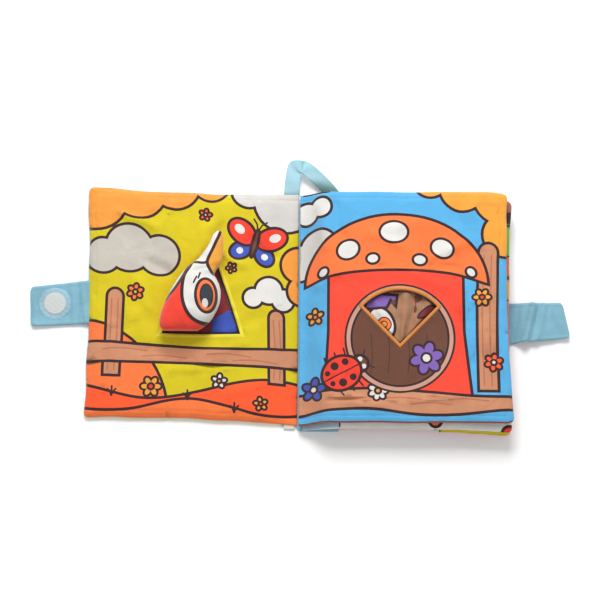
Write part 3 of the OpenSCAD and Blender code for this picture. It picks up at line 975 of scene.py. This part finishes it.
def pocket_outline():
    """The pocket as seen from above: a triangle of soft hems that do not run quite straight."""
    corners = [(POCKET_X - POCKET_HALF, POCKET_FOOT), (POCKET_X + POCKET_HALF, POCKET_FOOT),
               (POCKET_X + POCKET_LEAN, POCKET_TOP)]
    walk = []
    for (ax, ay), (bx, by) in zip(corners, corners[1:] + corners[:1]):
        for i in range(14):
            t = i / 14
            bow = 0.5 * math.sin(math.pi * t)
            nx, ny = (by - ay), -(bx - ax)
            length = math.hypot(nx, ny)
            walk.append((mix(ax, bx, t) + nx / length * bow, mix(ay, by, t) + ny / length * bow))
    return walk


POCKET_SEEN = pocket_outline()
POCKET = on_page(front_surface, POCKET_SEEN, -1)
POCKET_FLOOR = 1.5


def opened(surface, outline, floor, sign=1):
    """A page with a pocket sunk in its upper face, and a soft hem round its mouth."""
    def cut(u, v, side):
        x, y, z = surface(u, v, side)
        if side > 0:
            d = signed_distance(sign * u, v, outline)
            hem = 0.75 * np.exp(-((d - 1.3) / 1.0) ** 2)
            z = np.where(d < -0.3, floor, z + hem)
        return x, y, z
    return cut


def window_outline(inset=0.0):
    """The window as seen from above."""
    x, y = WINDOW_AT
    h = math.radians(WINDOW_HALF_ANGLE)
    rise = DOOR_AT[1] - y
    arm = rise * math.cos(h) + math.sqrt(WINDOW_R ** 2 - (rise * math.sin(h)) ** 2)
    end = math.atan2(arm * math.sin(h), arm * math.cos(h) - rise)
    steps = 14
    right, left = [[(x + side * arm * i / steps * math.sin(h), y + arm * i / steps * math.cos(h))
                    for i in range(steps)] for side in (1, -1)]
    angles = [mix(end, -end, i / 24) for i in range(25)]
    arc = [(x + WINDOW_R * math.sin(a), y + rise + WINDOW_R * math.cos(a)) for a in angles]
    points = right + arc + left[:0:-1]
    return grow(points, -inset) if inset else points


TOP_SURFACE = leaf_surface(TOP_LEAF)
WINDOW = on_page(TOP_SURFACE, window_outline())
WINDOW_FLOOR = COVER_T + LIE_GAP + TOP_LEAF * (LEAF_T + LIE_GAP) + 0.9


def moved(art, back):
    """A drawing, moved back towards the fold."""
    return [([(x - back, y) for x, y in shape], tint) for shape, tint in art]


def make_front():
    outline, inner = page_outline(0.0, PAGE_W, -1, 20.0)
    # The hem band round the pocket is partly its own yellow and partly a painted highlight, paler
    # where its raised roll catches the light
    rims = [(grow(POCKET, 2.6), HEM), (POCKET, INK), (grow(POCKET, -0.9), WINE)]
    extra = grow(POCKET, 1.3) + grow(POCKET, 2.6) + grow(POCKET, -3)
    surface = opened(front_surface, POCKET, POCKET_FLOOR, -1)
    piece = printed_mesh("front_cover_cloth", outline, inner + extra, front_inside_art() + rims,
                         front_outside_art(), surface, sign=-1)
    dress(piece, PRINTED)
    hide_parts("front_cover")
    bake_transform(piece)


def make_leaves():
    # Each leaf's upper and lower drawing, from the lowest leaf up. Of the two lower leaves only
    # strips at the fore edge and the foot are seen.
    arts = [
        (plain_art(WHITE, [], [((148, -40), (176, 60), ORANGE), ((104, -98), (176, -60), YELLOW)]),
         plain_art(PURPLE, [(60, 40, 18, WHITE), (110, -30, 24, GOLD), (50, -50, 14, SKY),
                            (130, 50, 12, RED)])),
        (plain_art(WHITE, [(104, -83.4, 5, CORAL), (161, -92, 7, RED), (153, -95, 4, GOLD)],
                   [((148, 80), (176, 98), MAUVE), ((148, 70), (176, 80), INK),
                    ((148, 46), (176, 70), GREEN), ((148, 30), (176, 46), EMBER),
                    ((148, 12), (176, 29), GOLD), ((148, -26), (176, 12), EMBER),
                    # The slate block at the foot by the fold is painted shade: the shaded spine
                    # cloth's grey-blue put on this leaf
                    ((148, -62), (176, -26), FLAME), ((-6, -98), (32, -78), PAINTED_SHADE_SLATE)]),
         plain_art(YELLOW, [(160, 0, 40, CORAL), (120, -92, 14, RED)])),
        (leaf_top_art(), plain_art(BARK, [(150, -60, 40, WINE), (150, 66, 30, BROWN)])),
    ]
    for k in range(LEAF_COUNT):
        outline, inner = page_outline(0.0, LEAF_W)
        top, low = [moved(art, leaf_start(k)) for art in arts[k]]
        surface = leaf_surface(k)
        if k == TOP_LEAF:
            top += door_art() + [(grow(WINDOW, -0.6), BROWN)]
            inner += grow(WINDOW, 1.3) + grow(WINDOW, 2.6) + grow(WINDOW, -3)
            surface = opened(surface, WINDOW, WINDOW_FLOOR)
        piece = printed_mesh(f"leaf_{k + 1}", outline, inner, top, low, surface)
        dress(piece, PRINTED)
        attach(piece, "leaves")
        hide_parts("pages")


def make_back():
    outline, inner = page_outline(SPINE_HIGH[0] + 0.4, PAGE_W)
    inside = plain_art(WHITE, [(162, 40, 40, GREEN), (110, 92, 26, GOLD)],
                       [((108, -98), (176, -70), YELLOW)])
    piece = printed_mesh("back_cover_cloth", outline, inner, inside, back_outside_art(),
                         back_surface)
    dress(piece, PRINTED)
    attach(piece, "back")
    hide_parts("back_cover")


make_front()
make_leaves()
make_back()


# Strips of cloth

def strip_mesh(name, rows, thickness, material):
    """A closed strip from rows of points across it: soft edges, an upper and a lower face."""
    rows = np.array(rows, float)
    count, width = rows.shape[0], rows.shape[1]
    along = np.gradient(rows, axis=0)
    across = np.gradient(rows, axis=1)
    normal = np.cross(across, along)
    normal /= np.maximum(np.linalg.norm(normal, axis=2, keepdims=True), 1e-9)
    edge = np.sin(np.linspace(0, math.pi, width)) ** 0.35
    half = (thickness / 2 * np.maximum(edge, 0.25))[None, :, None]
    upper = rows - normal * half
    lower = rows + normal * half
    n = count * width
    faces = []
    for i in range(count - 1):
        for j in range(width - 1):
            p = i * width + j
            faces.append([p, p + width, p + width + 1, p + 1])
            faces.append([n + p, n + p + 1, n + p + width + 1, n + p + width])
    for i in range(count - 1):
        p, q = i * width, i * width + width - 1
        faces.append([p, n + p, n + p + width, p + width])
        faces.append([q, q + width, n + q + width, n + q])
    for j in range(width - 1):
        p, q = j, (count - 1) * width + j
        faces.append([p, p + 1, n + p + 1, n + p])
        faces.append([q, n + q, n + q + 1, q + 1])
    points = np.concatenate([upper.reshape(-1, 3), lower.reshape(-1, 3)])
    piece = closed_piece(name, points, faces)
    dress(piece, material)
    return piece


STRAP_T = 1.5
STRAP_CURL = 1.2


def strap_rows(root, tip, root_w, tip_w, heights, end_slant, folds, seed):
    """Rows of a closing strap from the cover's edge to its free end."""
    root, tip = np.array(root, float), np.array(tip, float)
    steps, width = 60, 41
    direction = tip - root
    rows = []
    for i in range(steps + 1):
        t = i / steps
        w = mix(root_w, tip_w, t)
        row = []
        for j in range(width):
            s = 2 * j / (width - 1) - 1
            # The free end is cut aslant, with rounded corners
            corner = 1.5 * max(0.0, abs(s) - 0.8) / 0.2
            reach = t * (1 + (end_slant * s - corner) / np.linalg.norm(direction))
            x, y = root + direction * reach
            y += s * w / 2
            z = np.interp(t, *heights)
            for centre, slant, size, spread in folds:
                z += size * math.exp(-((t - centre - slant * s) / spread) ** 2)
            # The hem along the long edges is thicker, and the lower edge curls up off the table
            z += 0.45 * math.exp(-((abs(s) - 0.9) / 0.06) ** 2)
            z += STRAP_CURL * t * max(0.0, -s) ** 2
            row.append((x, y, z))
        rows.append(row)
    rows = np.array(rows)
    rows[:, :, 2] += 0.18 * waves(rows[:, :, 0], rows[:, :, 1], seed, 17.0)
    return rows


def make_straps():
    front_end = box_mm("front_strap")[0][0] + 0.3
    back_end = box_mm("back_strap")[1][0] - 0.2
    front = strip_mesh("front_strap_cloth", strap_rows(
        (-156.0, 6.6), (front_end, 2.4), 34.0, 31.0,
        ([0, 0.12, 0.35, 1.0], [2.2, 2.2, 1.05, 0.95]), 0.6,
        [(0.16, 0.05, 1.0, 0.035), (0.24, -0.04, -0.8, 0.04), (0.33, 0.03, 0.8, 0.04),
         (0.94, 0.0, 0.7, 0.025)], 5),
        STRAP_T, STRAP_CLOTH)
    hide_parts("front_strap")
    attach(front, "front")
    back = strip_mesh("back_strap_cloth", strap_rows(
        (156.0, -8.2), (back_end, -4.8), 32.0, 28.0,
        ([0, 0.08, 0.16, 0.3, 0.55, 1.0], [2.2, 2.2, 2.0, 4.4, 2.7, 2.35]), -3.0,
        [(0.42, 0.10, 3.4, 0.055), (0.22, 0.07, -1.6, 0.06), (0.60, 0.10, 1.6, 0.05),
         (0.78, -0.06, -0.9, 0.07)], 9),
        STRAP_T, STRAP_CLOTH)
    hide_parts("back_strap")
    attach(back, "back")


make_straps()


def dot_material(name, hooks):
    """White hook or loop tape: a field of tiny loops."""
    material, tree, shader = new_material(name)
    where = node(tree, "ShaderNodeTexCoord").outputs["Object"]
    cells = node(tree, "ShaderNodeTexVoronoi", Vector=where, Scale=1500.0 if hooks else 900.0,
                 Randomness=0.3 if hooks else 1.0)
    fuzz = node(tree, "ShaderNodeTexNoise", Vector=where, Scale=700.0, Detail=4.0)
    shade = spread(tree, fuzz.outputs["Fac"], 0.84, 1.02)
    bump = node(tree, "ShaderNodeBump", Strength=0.6, Distance=0.0003,
                Height=cells.outputs["Distance"])
    connect(tree, shader, {"Base Color": scaled(tree, plain_colour(tree, HOOK_WHITE), shade),
                           "Roughness": 0.7, "Sheen Weight": 0.4, "Normal": bump.outputs["Normal"]})
    return material


# A dot from its middle outwards: the share of its radius, and the share of its thickness
DOT_PROFILE = [(0.0, 1.0), (0.35, 1.0), (0.6, 0.97), (0.655, 0.9), (0.675, 0.6), (0.70, 0.5),
               (0.76, 0.42), (0.80, 0.5), (0.85, 0.5), (0.93, 0.46), (0.985, 0.34), (1.0, 0.12),
               (1.0, 0.0)]
DOT_RIM = 0.68


def make_dot(name, node_name, upward, material, body):
    """A round fastener dot: a flat sewn rim and a raised napped middle."""
    low, high = box_mm(node_name)
    cx, cy = (low[0] + high[0]) / 2, (low[1] + high[1]) / 2
    r = (high[0] - low[0]) / 2
    base = low[2] if upward else high[2]
    thick = (high[2] - low[2]) * (1 if upward else -1)
    turns = 72
    points = [(cx, cy, base + thick)]
    for share, height in DOT_PROFILE[1:]:
        for i in range(turns):
            a = 2 * math.pi * i / turns
            ripple = 1 + (0.008 * math.sin(9 * a) if share > 0.7 else 0)
            stitch = 1 + (0.3 * math.sin(18 * a) if 0.78 < share < 0.95 else 0)
            reach = r * share * ripple
            points.append((cx + reach * math.cos(a), cy + reach * math.sin(a),
                           base + thick * height * stitch))
    points.append((cx, cy, base))
    faces = [[0, 1 + i, 1 + (i + 1) % turns] for i in range(turns)]
    rings = len(DOT_PROFILE) - 1
    for k in range(rings - 1):
        for i in range(turns):
            p, q = 1 + k * turns + i, 1 + k * turns + (i + 1) % turns
            faces.append([p, p + turns, q + turns, q])
    first = 1 + (rings - 1) * turns
    faces += [[len(points) - 1, first + (i + 1) % turns, first + i] for i in range(turns)]
    piece = closed_piece(name, points, faces)
    for face in piece.data.polygons:
        reach = math.hypot(face.center.x / MM - cx, face.center.y / MM - cy)
        face.material_index = 1 if reach > DOT_RIM * r else 0
    piece.data.materials.append(material)
    piece.data.materials.append(RIM_CLOTH)
    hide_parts(node_name)
    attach(piece, body)


RIM_CLOTH = cloth_material("dot_rim", hex_rgb("9CC0D0"), pitch=0.9, crease=0.6, weave=0.9, vary=0.2)
make_dot("loop_dot_tape", "loop_dot", True, dot_material("loop_tape", False), "front")
make_dot("hook_dot_tape", "hook_dot", False, dot_material("hook_tape", True), "back")


# The ribbon handle: a leg goes up on the left, and the ribbon folds over and comes down slanted on
# the right. Each row gives the ribbon's outer and its inner edge.
HANDLE_ROUTE = [
    ((-11.6, 86.5, 1.8), (-0.2, 86.5, 1.8)),
    ((-11.5, 91.5, 2.3), (0.0, 91.5, 2.3)),
    ((-11.3, 97.0, 3.4), (0.3, 97.0, 3.4)),
    ((-10.7, 103.6, 4.8), (0.7, 103.0, 4.8)),
    ((-9.8, 109.8, 6.2), (1.1, 107.4, 5.8)),
    ((-8.6, 114.4, 7.2), (1.2, 108.2, 6.4)),
    ((-5.9, 117.2, 7.9), (1.3, 108.3, 6.8)),
    ((-1.6, 117.8, 8.3), (1.4, 108.2, 7.0)),
    ((3.2, 117.5, 8.0), (1.5, 108.0, 6.6)),
    ((6.6, 116.2, 8.3), (1.9, 107.7, 7.0)),
    ((11.2, 113.3, 8.0), (3.0, 106.9, 7.0)),
    ((17.6, 107.9, 6.9), (6.2, 104.3, 6.2)),
    ((23.8, 101.8, 5.5), (10.6, 100.6, 5.0)),
    ((29.0, 96.0, 3.9), (15.4, 96.2, 3.6)),
    ((32.8, 90.8, 2.5), (20.0, 91.6, 2.3)),
    ((34.6, 87.4, 1.9), (23.0, 87.6, 1.9)),
]
FOLD_AT = 0.53


def make_handle():
    outer = spline([a for a, _ in HANDLE_ROUTE], steps=5)
    inner = spline([b for _, b in HANDLE_ROUTE], steps=5)
    rows, shades = [], []
    last = len(outer) - 1
    for i, (a, b) in enumerate(zip(outer, inner)):
        t = i / last
        fold = math.exp(-((t - FOLD_AT) / 0.022) ** 2)
        row = []
        for s in np.linspace(0, 1, 17):
            q = mix(np.array(a), np.array(b), s)
            # The ribbon's two woven edges stand up a little, and the fold makes a valley
            hem = 0.3 * math.exp(-((abs(2 * s - 1) - 0.88) / 0.08) ** 2)
            q[2] += hem - fold * (1 - 0.5 * s)
            q[2] += 0.25 * math.sin(t * 31 + s * 3)
            row.append(q)
            # Painted shade: the ribbon is mixed towards dark teal near its two bases and along its
            # fold, where shade falls
            low_right = smooth(np.array((t - 0.72) / 0.2)) * (0.6 + 0.4 * s)
            low_left = 0.55 * smooth(np.array((0.12 - t) / 0.06))
            shades.append(min(1.0, float(low_right + low_left) + 0.38 * fold * (1 - 0.6 * s)))
        rows.append(row)
    piece = strip_mesh("handle_ribbon", rows, 0.9, RIBBON_CLOTH)
    # The painted shade goes into the mesh's colours, which the ribbon's cloth reads as its base
    # colour
    layer = piece.data.color_attributes.new("print_and_painted_shade", "FLOAT_COLOR", "POINT")
    colours = np.ones((len(piece.data.vertices), 4), np.float32)
    share = np.array(shades + shades)[:, None]
    colours[:, :3] = np.array(RIBBON) * (1 - share) + np.array(RIBBON_PAINTED_SHADE) * share
    layer.data.foreach_set("color", colours.ravel())
    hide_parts("handle")
    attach(piece, "leaves")


make_handle()


def make_spine():
    """The cloth spine, flat on the table. Its foot is as high as the front cover's on the left, and
    as low as the back cover's on the right."""
    low, high = SPINE_LOW, SPINE_HIGH
    head_y = high[1] + 0.3
    rows = []
    for t in np.linspace(0, 1, 60):
        row = []
        for x in np.linspace(low[0], high[0], 44):
            foot_y = mix(-high[1], low[1], float(smooth((x + 1.4) / 3.4)))
            y = mix(foot_y, head_y, t)
            ripple = 0.12 * math.sin(y * 0.21 + x * 0.35) + 0.1 * math.sin(y * 0.09)
            row.append((x, y, 0.95 + ripple * 0.6 + 0.5 * math.exp(-((x - 1) / 3.5) ** 2)))
        rows.append(row)
    piece = strip_mesh("spine_cloth_strip", rows, 1.2, SPINE_CLOTH)
    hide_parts("spine")
    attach(piece, "leaves")


make_spine()


def make_label():
    low, high = box_mm("care_label")
    rows = []
    for y in np.linspace(high[1] + 1.0, low[1], 10):
        t = (high[1] - y) / (high[1] - low[1])
        rows.append([(x, y, 1.5 - 0.45 * t + 0.12 * math.sin(x))
                     for x in np.linspace(low[0], high[0], 9)])
    piece = strip_mesh("care_label_cloth", rows, 0.45, LABEL_CLOTH)
    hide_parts("care_label")
    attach(piece, "leaves")


make_label()


# The window's binding: a flat tape, sewn over the edge all round the window

def make_binding():
    outline = window_outline()
    outline.append(outline[0])
    path = []
    for a, b in zip(outline, outline[1:]):
        for i in range(2):
            path.append((mix(a[0], b[0], i / 2), mix(a[1], b[1], i / 2)))
    ring = np.array(path)
    _, _, level = TOP_SURFACE(ring[:, 0] - BOUND_X, ring[:, 1], 1)
    half = 1.25
    # The tape's section: how far out, and how high over its seat on the page
    profile = [(-half, -1.2), (-half, 0.1), (-half * 0.7, 0.75), (0.0, 0.95), (half * 0.7, 0.75),
               (half, 0.1), (half, -0.6)]
    seat = 0.45
    offsets = [np.array(grow([tuple(p) for p in ring], d)) for d, _ in profile]
    if np.linalg.norm(offsets[0][0] - ring[0]) > 10:
        level = level[::-1]
    points = []
    for (d, lift), loop in zip(profile, offsets):
        for (x, y), z in zip(loop, level):
            points.append((x, y, z + seat + lift))
    n = len(ring)
    faces = []
    for k in range(len(profile)):
        here, there = k * n, (k + 1) % len(profile) * n
        for i in range(n):
            j = (i + 1) % n
            faces.append([here + i, here + j, there + j, there + i])
    piece = closed_piece("window_binding_tape", points, faces)
    dress(piece, BINDING_CLOTH)
    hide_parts("window_binding")
    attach(piece, "leaves")


make_binding()


# Pushed-in cloth: the pouch behind the window and the lining of the pocket

def crumpled(name, outline, art, floor, height, grain, material, body, replaced, spacing):
    """Cloth that lies in a pocket in folds, cut to the pocket's outline. The folds' height(u, v)
    fades out over this grain towards the edge."""
    p = np.array(outline)
    xs = np.arange(p[:, 0].min(), p[:, 0].max(), spacing)
    ys = np.arange(p[:, 1].min(), p[:, 1].max(), spacing)
    places = np.array([(x, y) for x in xs for y in ys])
    deep = signed_distance(places[:, 0], places[:, 1], outline) < -0.8
    inner = [tuple(q) for q in places[deep]]

    def surface(u, v, side):
        if side < 0:
            return u, v, np.full_like(u, floor)
        d = -signed_distance(u, v, outline)
        return u, v, floor + 0.25 + height(u, v) * smooth(d / grain)
    piece = printed_mesh(name, outline, inner, art, [(outline, BROWN)], surface)
    dress(piece, material)
    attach(piece, body)
    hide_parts(replaced)


def pouch_height(x, y):
    """Folds that fan out from the window's point."""
    dx, dy = x - WINDOW_AT[0], y - WINDOW_AT[1] + 8
    angle = np.degrees(np.arctan2(dx, dy))
    reach = np.hypot(dx, dy)
    folds = 0.0
    for high, at, wide in ((2.4, 6, 5.0), (1.6, -24, 6.0), (1.3, 27, 4.5), (-0.9, 16, 3.5)):
        folds = folds + high * np.exp(-((angle - at) / wide) ** 2)
    folds = folds + 0.6 * np.sin(np.radians(angle * 16))
    foot = 1.1 * smooth((reach - 34) / 12)
    return 1.5 + folds * smooth(reach / 26) + 0.45 * waves(x, y, 91, 9.0) - foot


POUCH_TAN = hex_rgb("A67C5E")


def pouch_art():
    x, y = WINDOW_AT
    art = [(circle(x, y + 20, 60), POUCH_TAN)]
    art += inked([oval(x - 14, y + 18, 9.5, 13, 28)], WHITE)
    corners = ((-27, 29), (-10, 30), (-7, 36), (-3, 31), (-2, 40), (-14, 41), (-26, 38))
    art += inked([[(x + dx, y + dy) for dx, dy in corners]], PURPLE)
    art += inked([circle(x - 12, y + 17, 5.4, 28)], CORAL, 0.9)
    art += inked([circle(x - 12, y + 17, 2.4, 22)], GOLD, 0.8)
    art += inked([oval(x + 20, y + 27, 8, 2.6, 38)], WINE, 1.4)
    art += grain(((x + 2, y + 8),), (1, 14), (-1, 28))
    return art + grain(((x + 9, y + 14),), (3, 12), (1, 24))


crumpled("tucked_pouch_cloth", window_outline(0.9), pouch_art(), WINDOW_FLOOR + 0.1, pouch_height,
         2.0, PRINTED, "leaves", "tucked_pouch", 1.3)


def lining_height(x, y):
    return 0.9 + 0.35 * waves(x, y, 17, 16.0)


def lining_art():
    corners = ((6, -5), (9, 12), (21, 19), (40, 16), (40, -5))
    return [(circle(POCKET_X, POCKET_FOOT + 20, 80), WINE),
            ([(POCKET_X + x, POCKET_FOOT + y) for x, y in corners], BLUE)]


crumpled("pocket_lining_cloth", grow(POCKET_SEEN, -0.9), lining_art(), POCKET_FLOOR + 0.1,
         lining_height, 1.2, PRINTED, "front", "pocket_lining", 2.0)


# The stuffed head. It is drawn flat, cut along the drawn lines and laid over a stuffed form.

HEAD_LEN = BEAK_TIP - HEAD_LOW[1]
HEAD_SEAT = HEAD_LOW[2]
HEAD_T = HEAD_HIGH[2] - HEAD_LOW[2]
# The head's left and right edges, by the share of its length from its foot to the tip of its beak
HEAD_LEFT = np.array([
    [0.00, -101.5], [0.02, -103.8], [0.06, -105.2], [0.13, -105.3], [0.20, -104.0], [0.30, -101.2],
    [0.40, -97.4], [0.45, -95.2], [0.52, -92.0], [0.56, -89.8], [0.60, -87.2], [0.64, -84.7],
    [0.675, -81.5], [0.70, -78.4], [0.74, -75.1], [0.79, -72.3], [0.83, -70.1], [0.89, -67.5],
    [0.93, -66.3], [0.965, -65.2], [0.99, -63.3], [1.0, -61.6]])
HEAD_RIGHT = np.array([
    [0.00, -76.5], [0.03, -72.5], [0.067, -68.9], [0.12, -65.3], [0.194, -62.2], [0.25, -60.3],
    [0.30, -59.4], [0.36, -58.9], [0.42, -59.3], [0.47, -60.4], [0.52, -62.2], [0.56, -64.2],
    [0.60, -63.2], [0.64, -60.9], [0.69, -58.7], [0.76, -57.8], [0.85, -57.5], [0.93, -57.4],
    [0.97, -57.9], [0.99, -58.8], [1.0, -60.2]])
# Half the thickness along the head, as a share
HEAD_THICK = np.array([
    [0.00, 0.40], [0.03, 0.62], [0.07, 0.78], [0.13, 0.92], [0.20, 1.0], [0.30, 1.03], [0.40, 0.99],
    [0.52, 0.86], [0.60, 0.74], [0.66, 0.62], [0.72, 0.46], [0.83, 0.33], [0.93, 0.22],
    [0.98, 0.14], [1.0, 0.05]])


def along_head(table, s):
    """Reads a table along the head, with its corners rounded."""
    total = 0.0
    for shift in (-0.012, 0.0, 0.012):
        total = total + np.interp(np.clip(s + shift, 0, 1), table[:, 0], table[:, 1])
    return total / 3


def head_outline(n=76):
    ys = [HEAD_LOW[1] + HEAD_LEN * i / n for i in range(n + 1)]
    right = [(float(along_head(HEAD_RIGHT, i / n)), float(y)) for i, y in enumerate(ys)]
    left = [(float(along_head(HEAD_LEFT, i / n)), float(y)) for i, y in enumerate(ys)]
    return right + left[::-1]


def head_surface(u, v, side):
    s = np.clip((v - HEAD_LOW[1]) / HEAD_LEN, 0, 1)
    low, high = along_head(HEAD_LEFT, s), along_head(HEAD_RIGHT, s)
    a = np.clip((2 * u - low - high) / (high - low), -1, 1)
    # A stuffed form is flatter than an ellipse in the middle, and tight at its seams
    round_share = np.clip(1 - np.abs(a) ** 2.2, 0, 1) ** 0.52
    thick = np.interp(s, HEAD_THICK[:, 0], HEAD_THICK[:, 1])
    level = HEAD_SEAT + HEAD_T / 2 * (0.84 + 0.42 * s * s)
    seam_tucks = 0.35 * waves(v, v * 0, 137, 7.0, 4) * np.abs(a) ** 3 * (1 - np.abs(a) ** 8)
    neck = 0.9 * np.exp(-((s - 0.60 - 0.05 * a) / 0.018) ** 2)
    wrinkle = (0.42 * waves(u, v, 131, 16.0) - neck) * round_share
    folds = (0.8 * np.exp(-((u + 0.55 * v + 93) / 2.2) ** 2)
             - 0.7 * np.exp(-((u + 0.35 * v + 99.5) / 1.8) ** 2))
    z = level + side * HEAD_T / 2 * thick * round_share
    if side > 0:
        z = z + wrinkle + seam_tucks + folds * round_share * smooth((0.5 - s) / 0.2)
    return u, v, np.maximum(z, HEAD_SEAT + 0.05)


def head_art():
    """Seen from above: a red back, a white face with a big eye, a white and gold beak."""
    art = [([(-200, -100), (0, -100), (0, 120), (-200, 120)], RED)]
    face = spline([(-81.5, 33), (-87, 22), (-88, 6), (-83.5, -6.5), (-75, -12.6), (-64, -12.2),
                   (-52, -4), (-50, 22), (-54, 44), (-70, 50), (-80, 46)], closed=True)
    art += inked([face], WHITE, 2.6)
    crest = spline([(-103, 5), (-97, 9.5), (-90.5, 18), (-85.5, 27), (-82, 36), (-90, 42),
                    (-108, 20)], closed=True, steps=7)
    art += inked([crest], WHITE, 2.4)
    art += inked([oval(-70.0, 7.6, 7.9, 12.8, 2, 40)], CORAL, 2.2)
    art += inked([oval(-69.6, 7.4, 4.7, 8.7, 2, 36)], hex_rgb("363B46"), 1.0)
    art += [(oval(-70.6, 1.6, 2.3, 3.4, 2, 24), WHITE)]
    for (ax, ay), (bx, by) in (((-79.5, 17), (-77.2, 22)), ((-76, 20.5), (-74.6, 25))):
        art += stroke([(ax, ay), ((ax + bx) / 2, (ay + by) / 2), (bx, by)], 1.3, INK)
    beak = spline([(-82, 36.2), (-77, 33.6), (-70, 33.6), (-66, 42), (-62.5, 50), (-58, 60),
                   (-66, 64), (-80, 50)], closed=True, steps=7)
    art += inked([beak], WHITE, 2.2)
    lower = spline([(-61.5, 53), (-65.5, 44), (-69.3, 34.5), (-67.6, 28.6), (-63.5, 24.5),
                    (-54, 26), (-52, 50), (-57, 62)], closed=True, steps=7)
    art += inked([lower], GOLD, 2.4)
    return art


def make_head():
    outline = head_outline()
    inner = []
    for i in range(1, 64):
        s = i / 64
        low, high = float(along_head(HEAD_LEFT, s)), float(along_head(HEAD_RIGHT, s))
        for a in np.sin(np.linspace(-1.5, 1.5, 27)) * 0.995:
            inner.append((mix(low, high, (1 + float(a)) / 2), float(HEAD_LOW[1] + HEAD_LEN * s)))
    piece = printed_mesh("bird_head_cloth", outline, inner, head_art(), [(outline, RED)],
                         head_surface)
    dress(piece, PLUSH)
    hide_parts("bird_head", "bird_beak")
    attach(piece, "front")
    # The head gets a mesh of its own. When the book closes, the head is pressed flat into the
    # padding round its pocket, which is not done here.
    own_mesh(piece)


make_head()


# The studio

def make_stage():
    mesh = bpy.data.meshes.new("floor")
    size = 3.0
    corners = [(x * size, y * size, -0.0002) for x, y in ((-1, -1), (1, -1), (1, 1), (-1, 1))]
    mesh.from_pydata(corners, [], [[0, 1, 2, 3]])
    floor = add_object("floor", mesh)
    material, tree, shader = new_material("floor")
    shader.inputs["Base Color"].default_value = (1.0, 1.0, 1.0, 1)
    shader.inputs["Roughness"].default_value = 0.9
    mesh.materials.append(material)


def add_light(name, at, size, power):
    """A square lamp that points at the middle of the book."""
    data = bpy.data.lights.new(name, "AREA")
    data.shape = "SQUARE"
    data.size = size
    data.energy = power
    lamp = add_object(name, data)
    lamp.location = at
    lamp.rotation_euler = (-Vector(at)).to_track_quat("-Z", "Y").to_euler()


def make_lights():
    add_light("key", (-0.03, 0.9, 0.97), 0.6, 16.0)
    add_light("fill", (0.5, -0.7, 1.5), 1.6, 4.0)
    world = bpy.data.worlds.new("studio")
    world.use_nodes = True
    background = world.node_tree.nodes["Background"]
    background.inputs["Color"].default_value = (1, 1, 1, 1)
    background.inputs["Strength"].default_value = 0.5
    bpy.context.scene.world = world
    bpy.context.scene.view_settings.view_transform = "Standard"


def make_camera():
    data = bpy.data.cameras.new("camera")
    data.sensor_width = SENSOR
    data.sensor_fit = "HORIZONTAL"
    data.lens = SENSOR * VIEW_DISTANCE * VIEW_PX_PER_MM / IMAGE_PX
    data.shift_x = (IMAGE_PX / 2 - TARGET_PX[0]) / IMAGE_PX
    data.shift_y = (TARGET_PX[1] - IMAGE_PX / 2) / IMAGE_PX
    data.clip_start = 0.1
    data.clip_end = 20.0
    camera = add_object("camera", data)
    e = math.radians(VIEW_ELEVATION)
    back = Vector((0, -math.cos(e), math.sin(e)))
    target = Vector(VIEW_TARGET) * MM
    camera.location = target + back * VIEW_DISTANCE * MM
    turn = back.to_track_quat("Z", "Y")
    camera.rotation_mode = "QUATERNION"
    camera.rotation_quaternion = turn @ Quaternion((0, 0, 1), math.radians(-VIEW_ROLL))
    bpy.context.scene.camera = camera


make_stage()
make_lights()
make_camera()
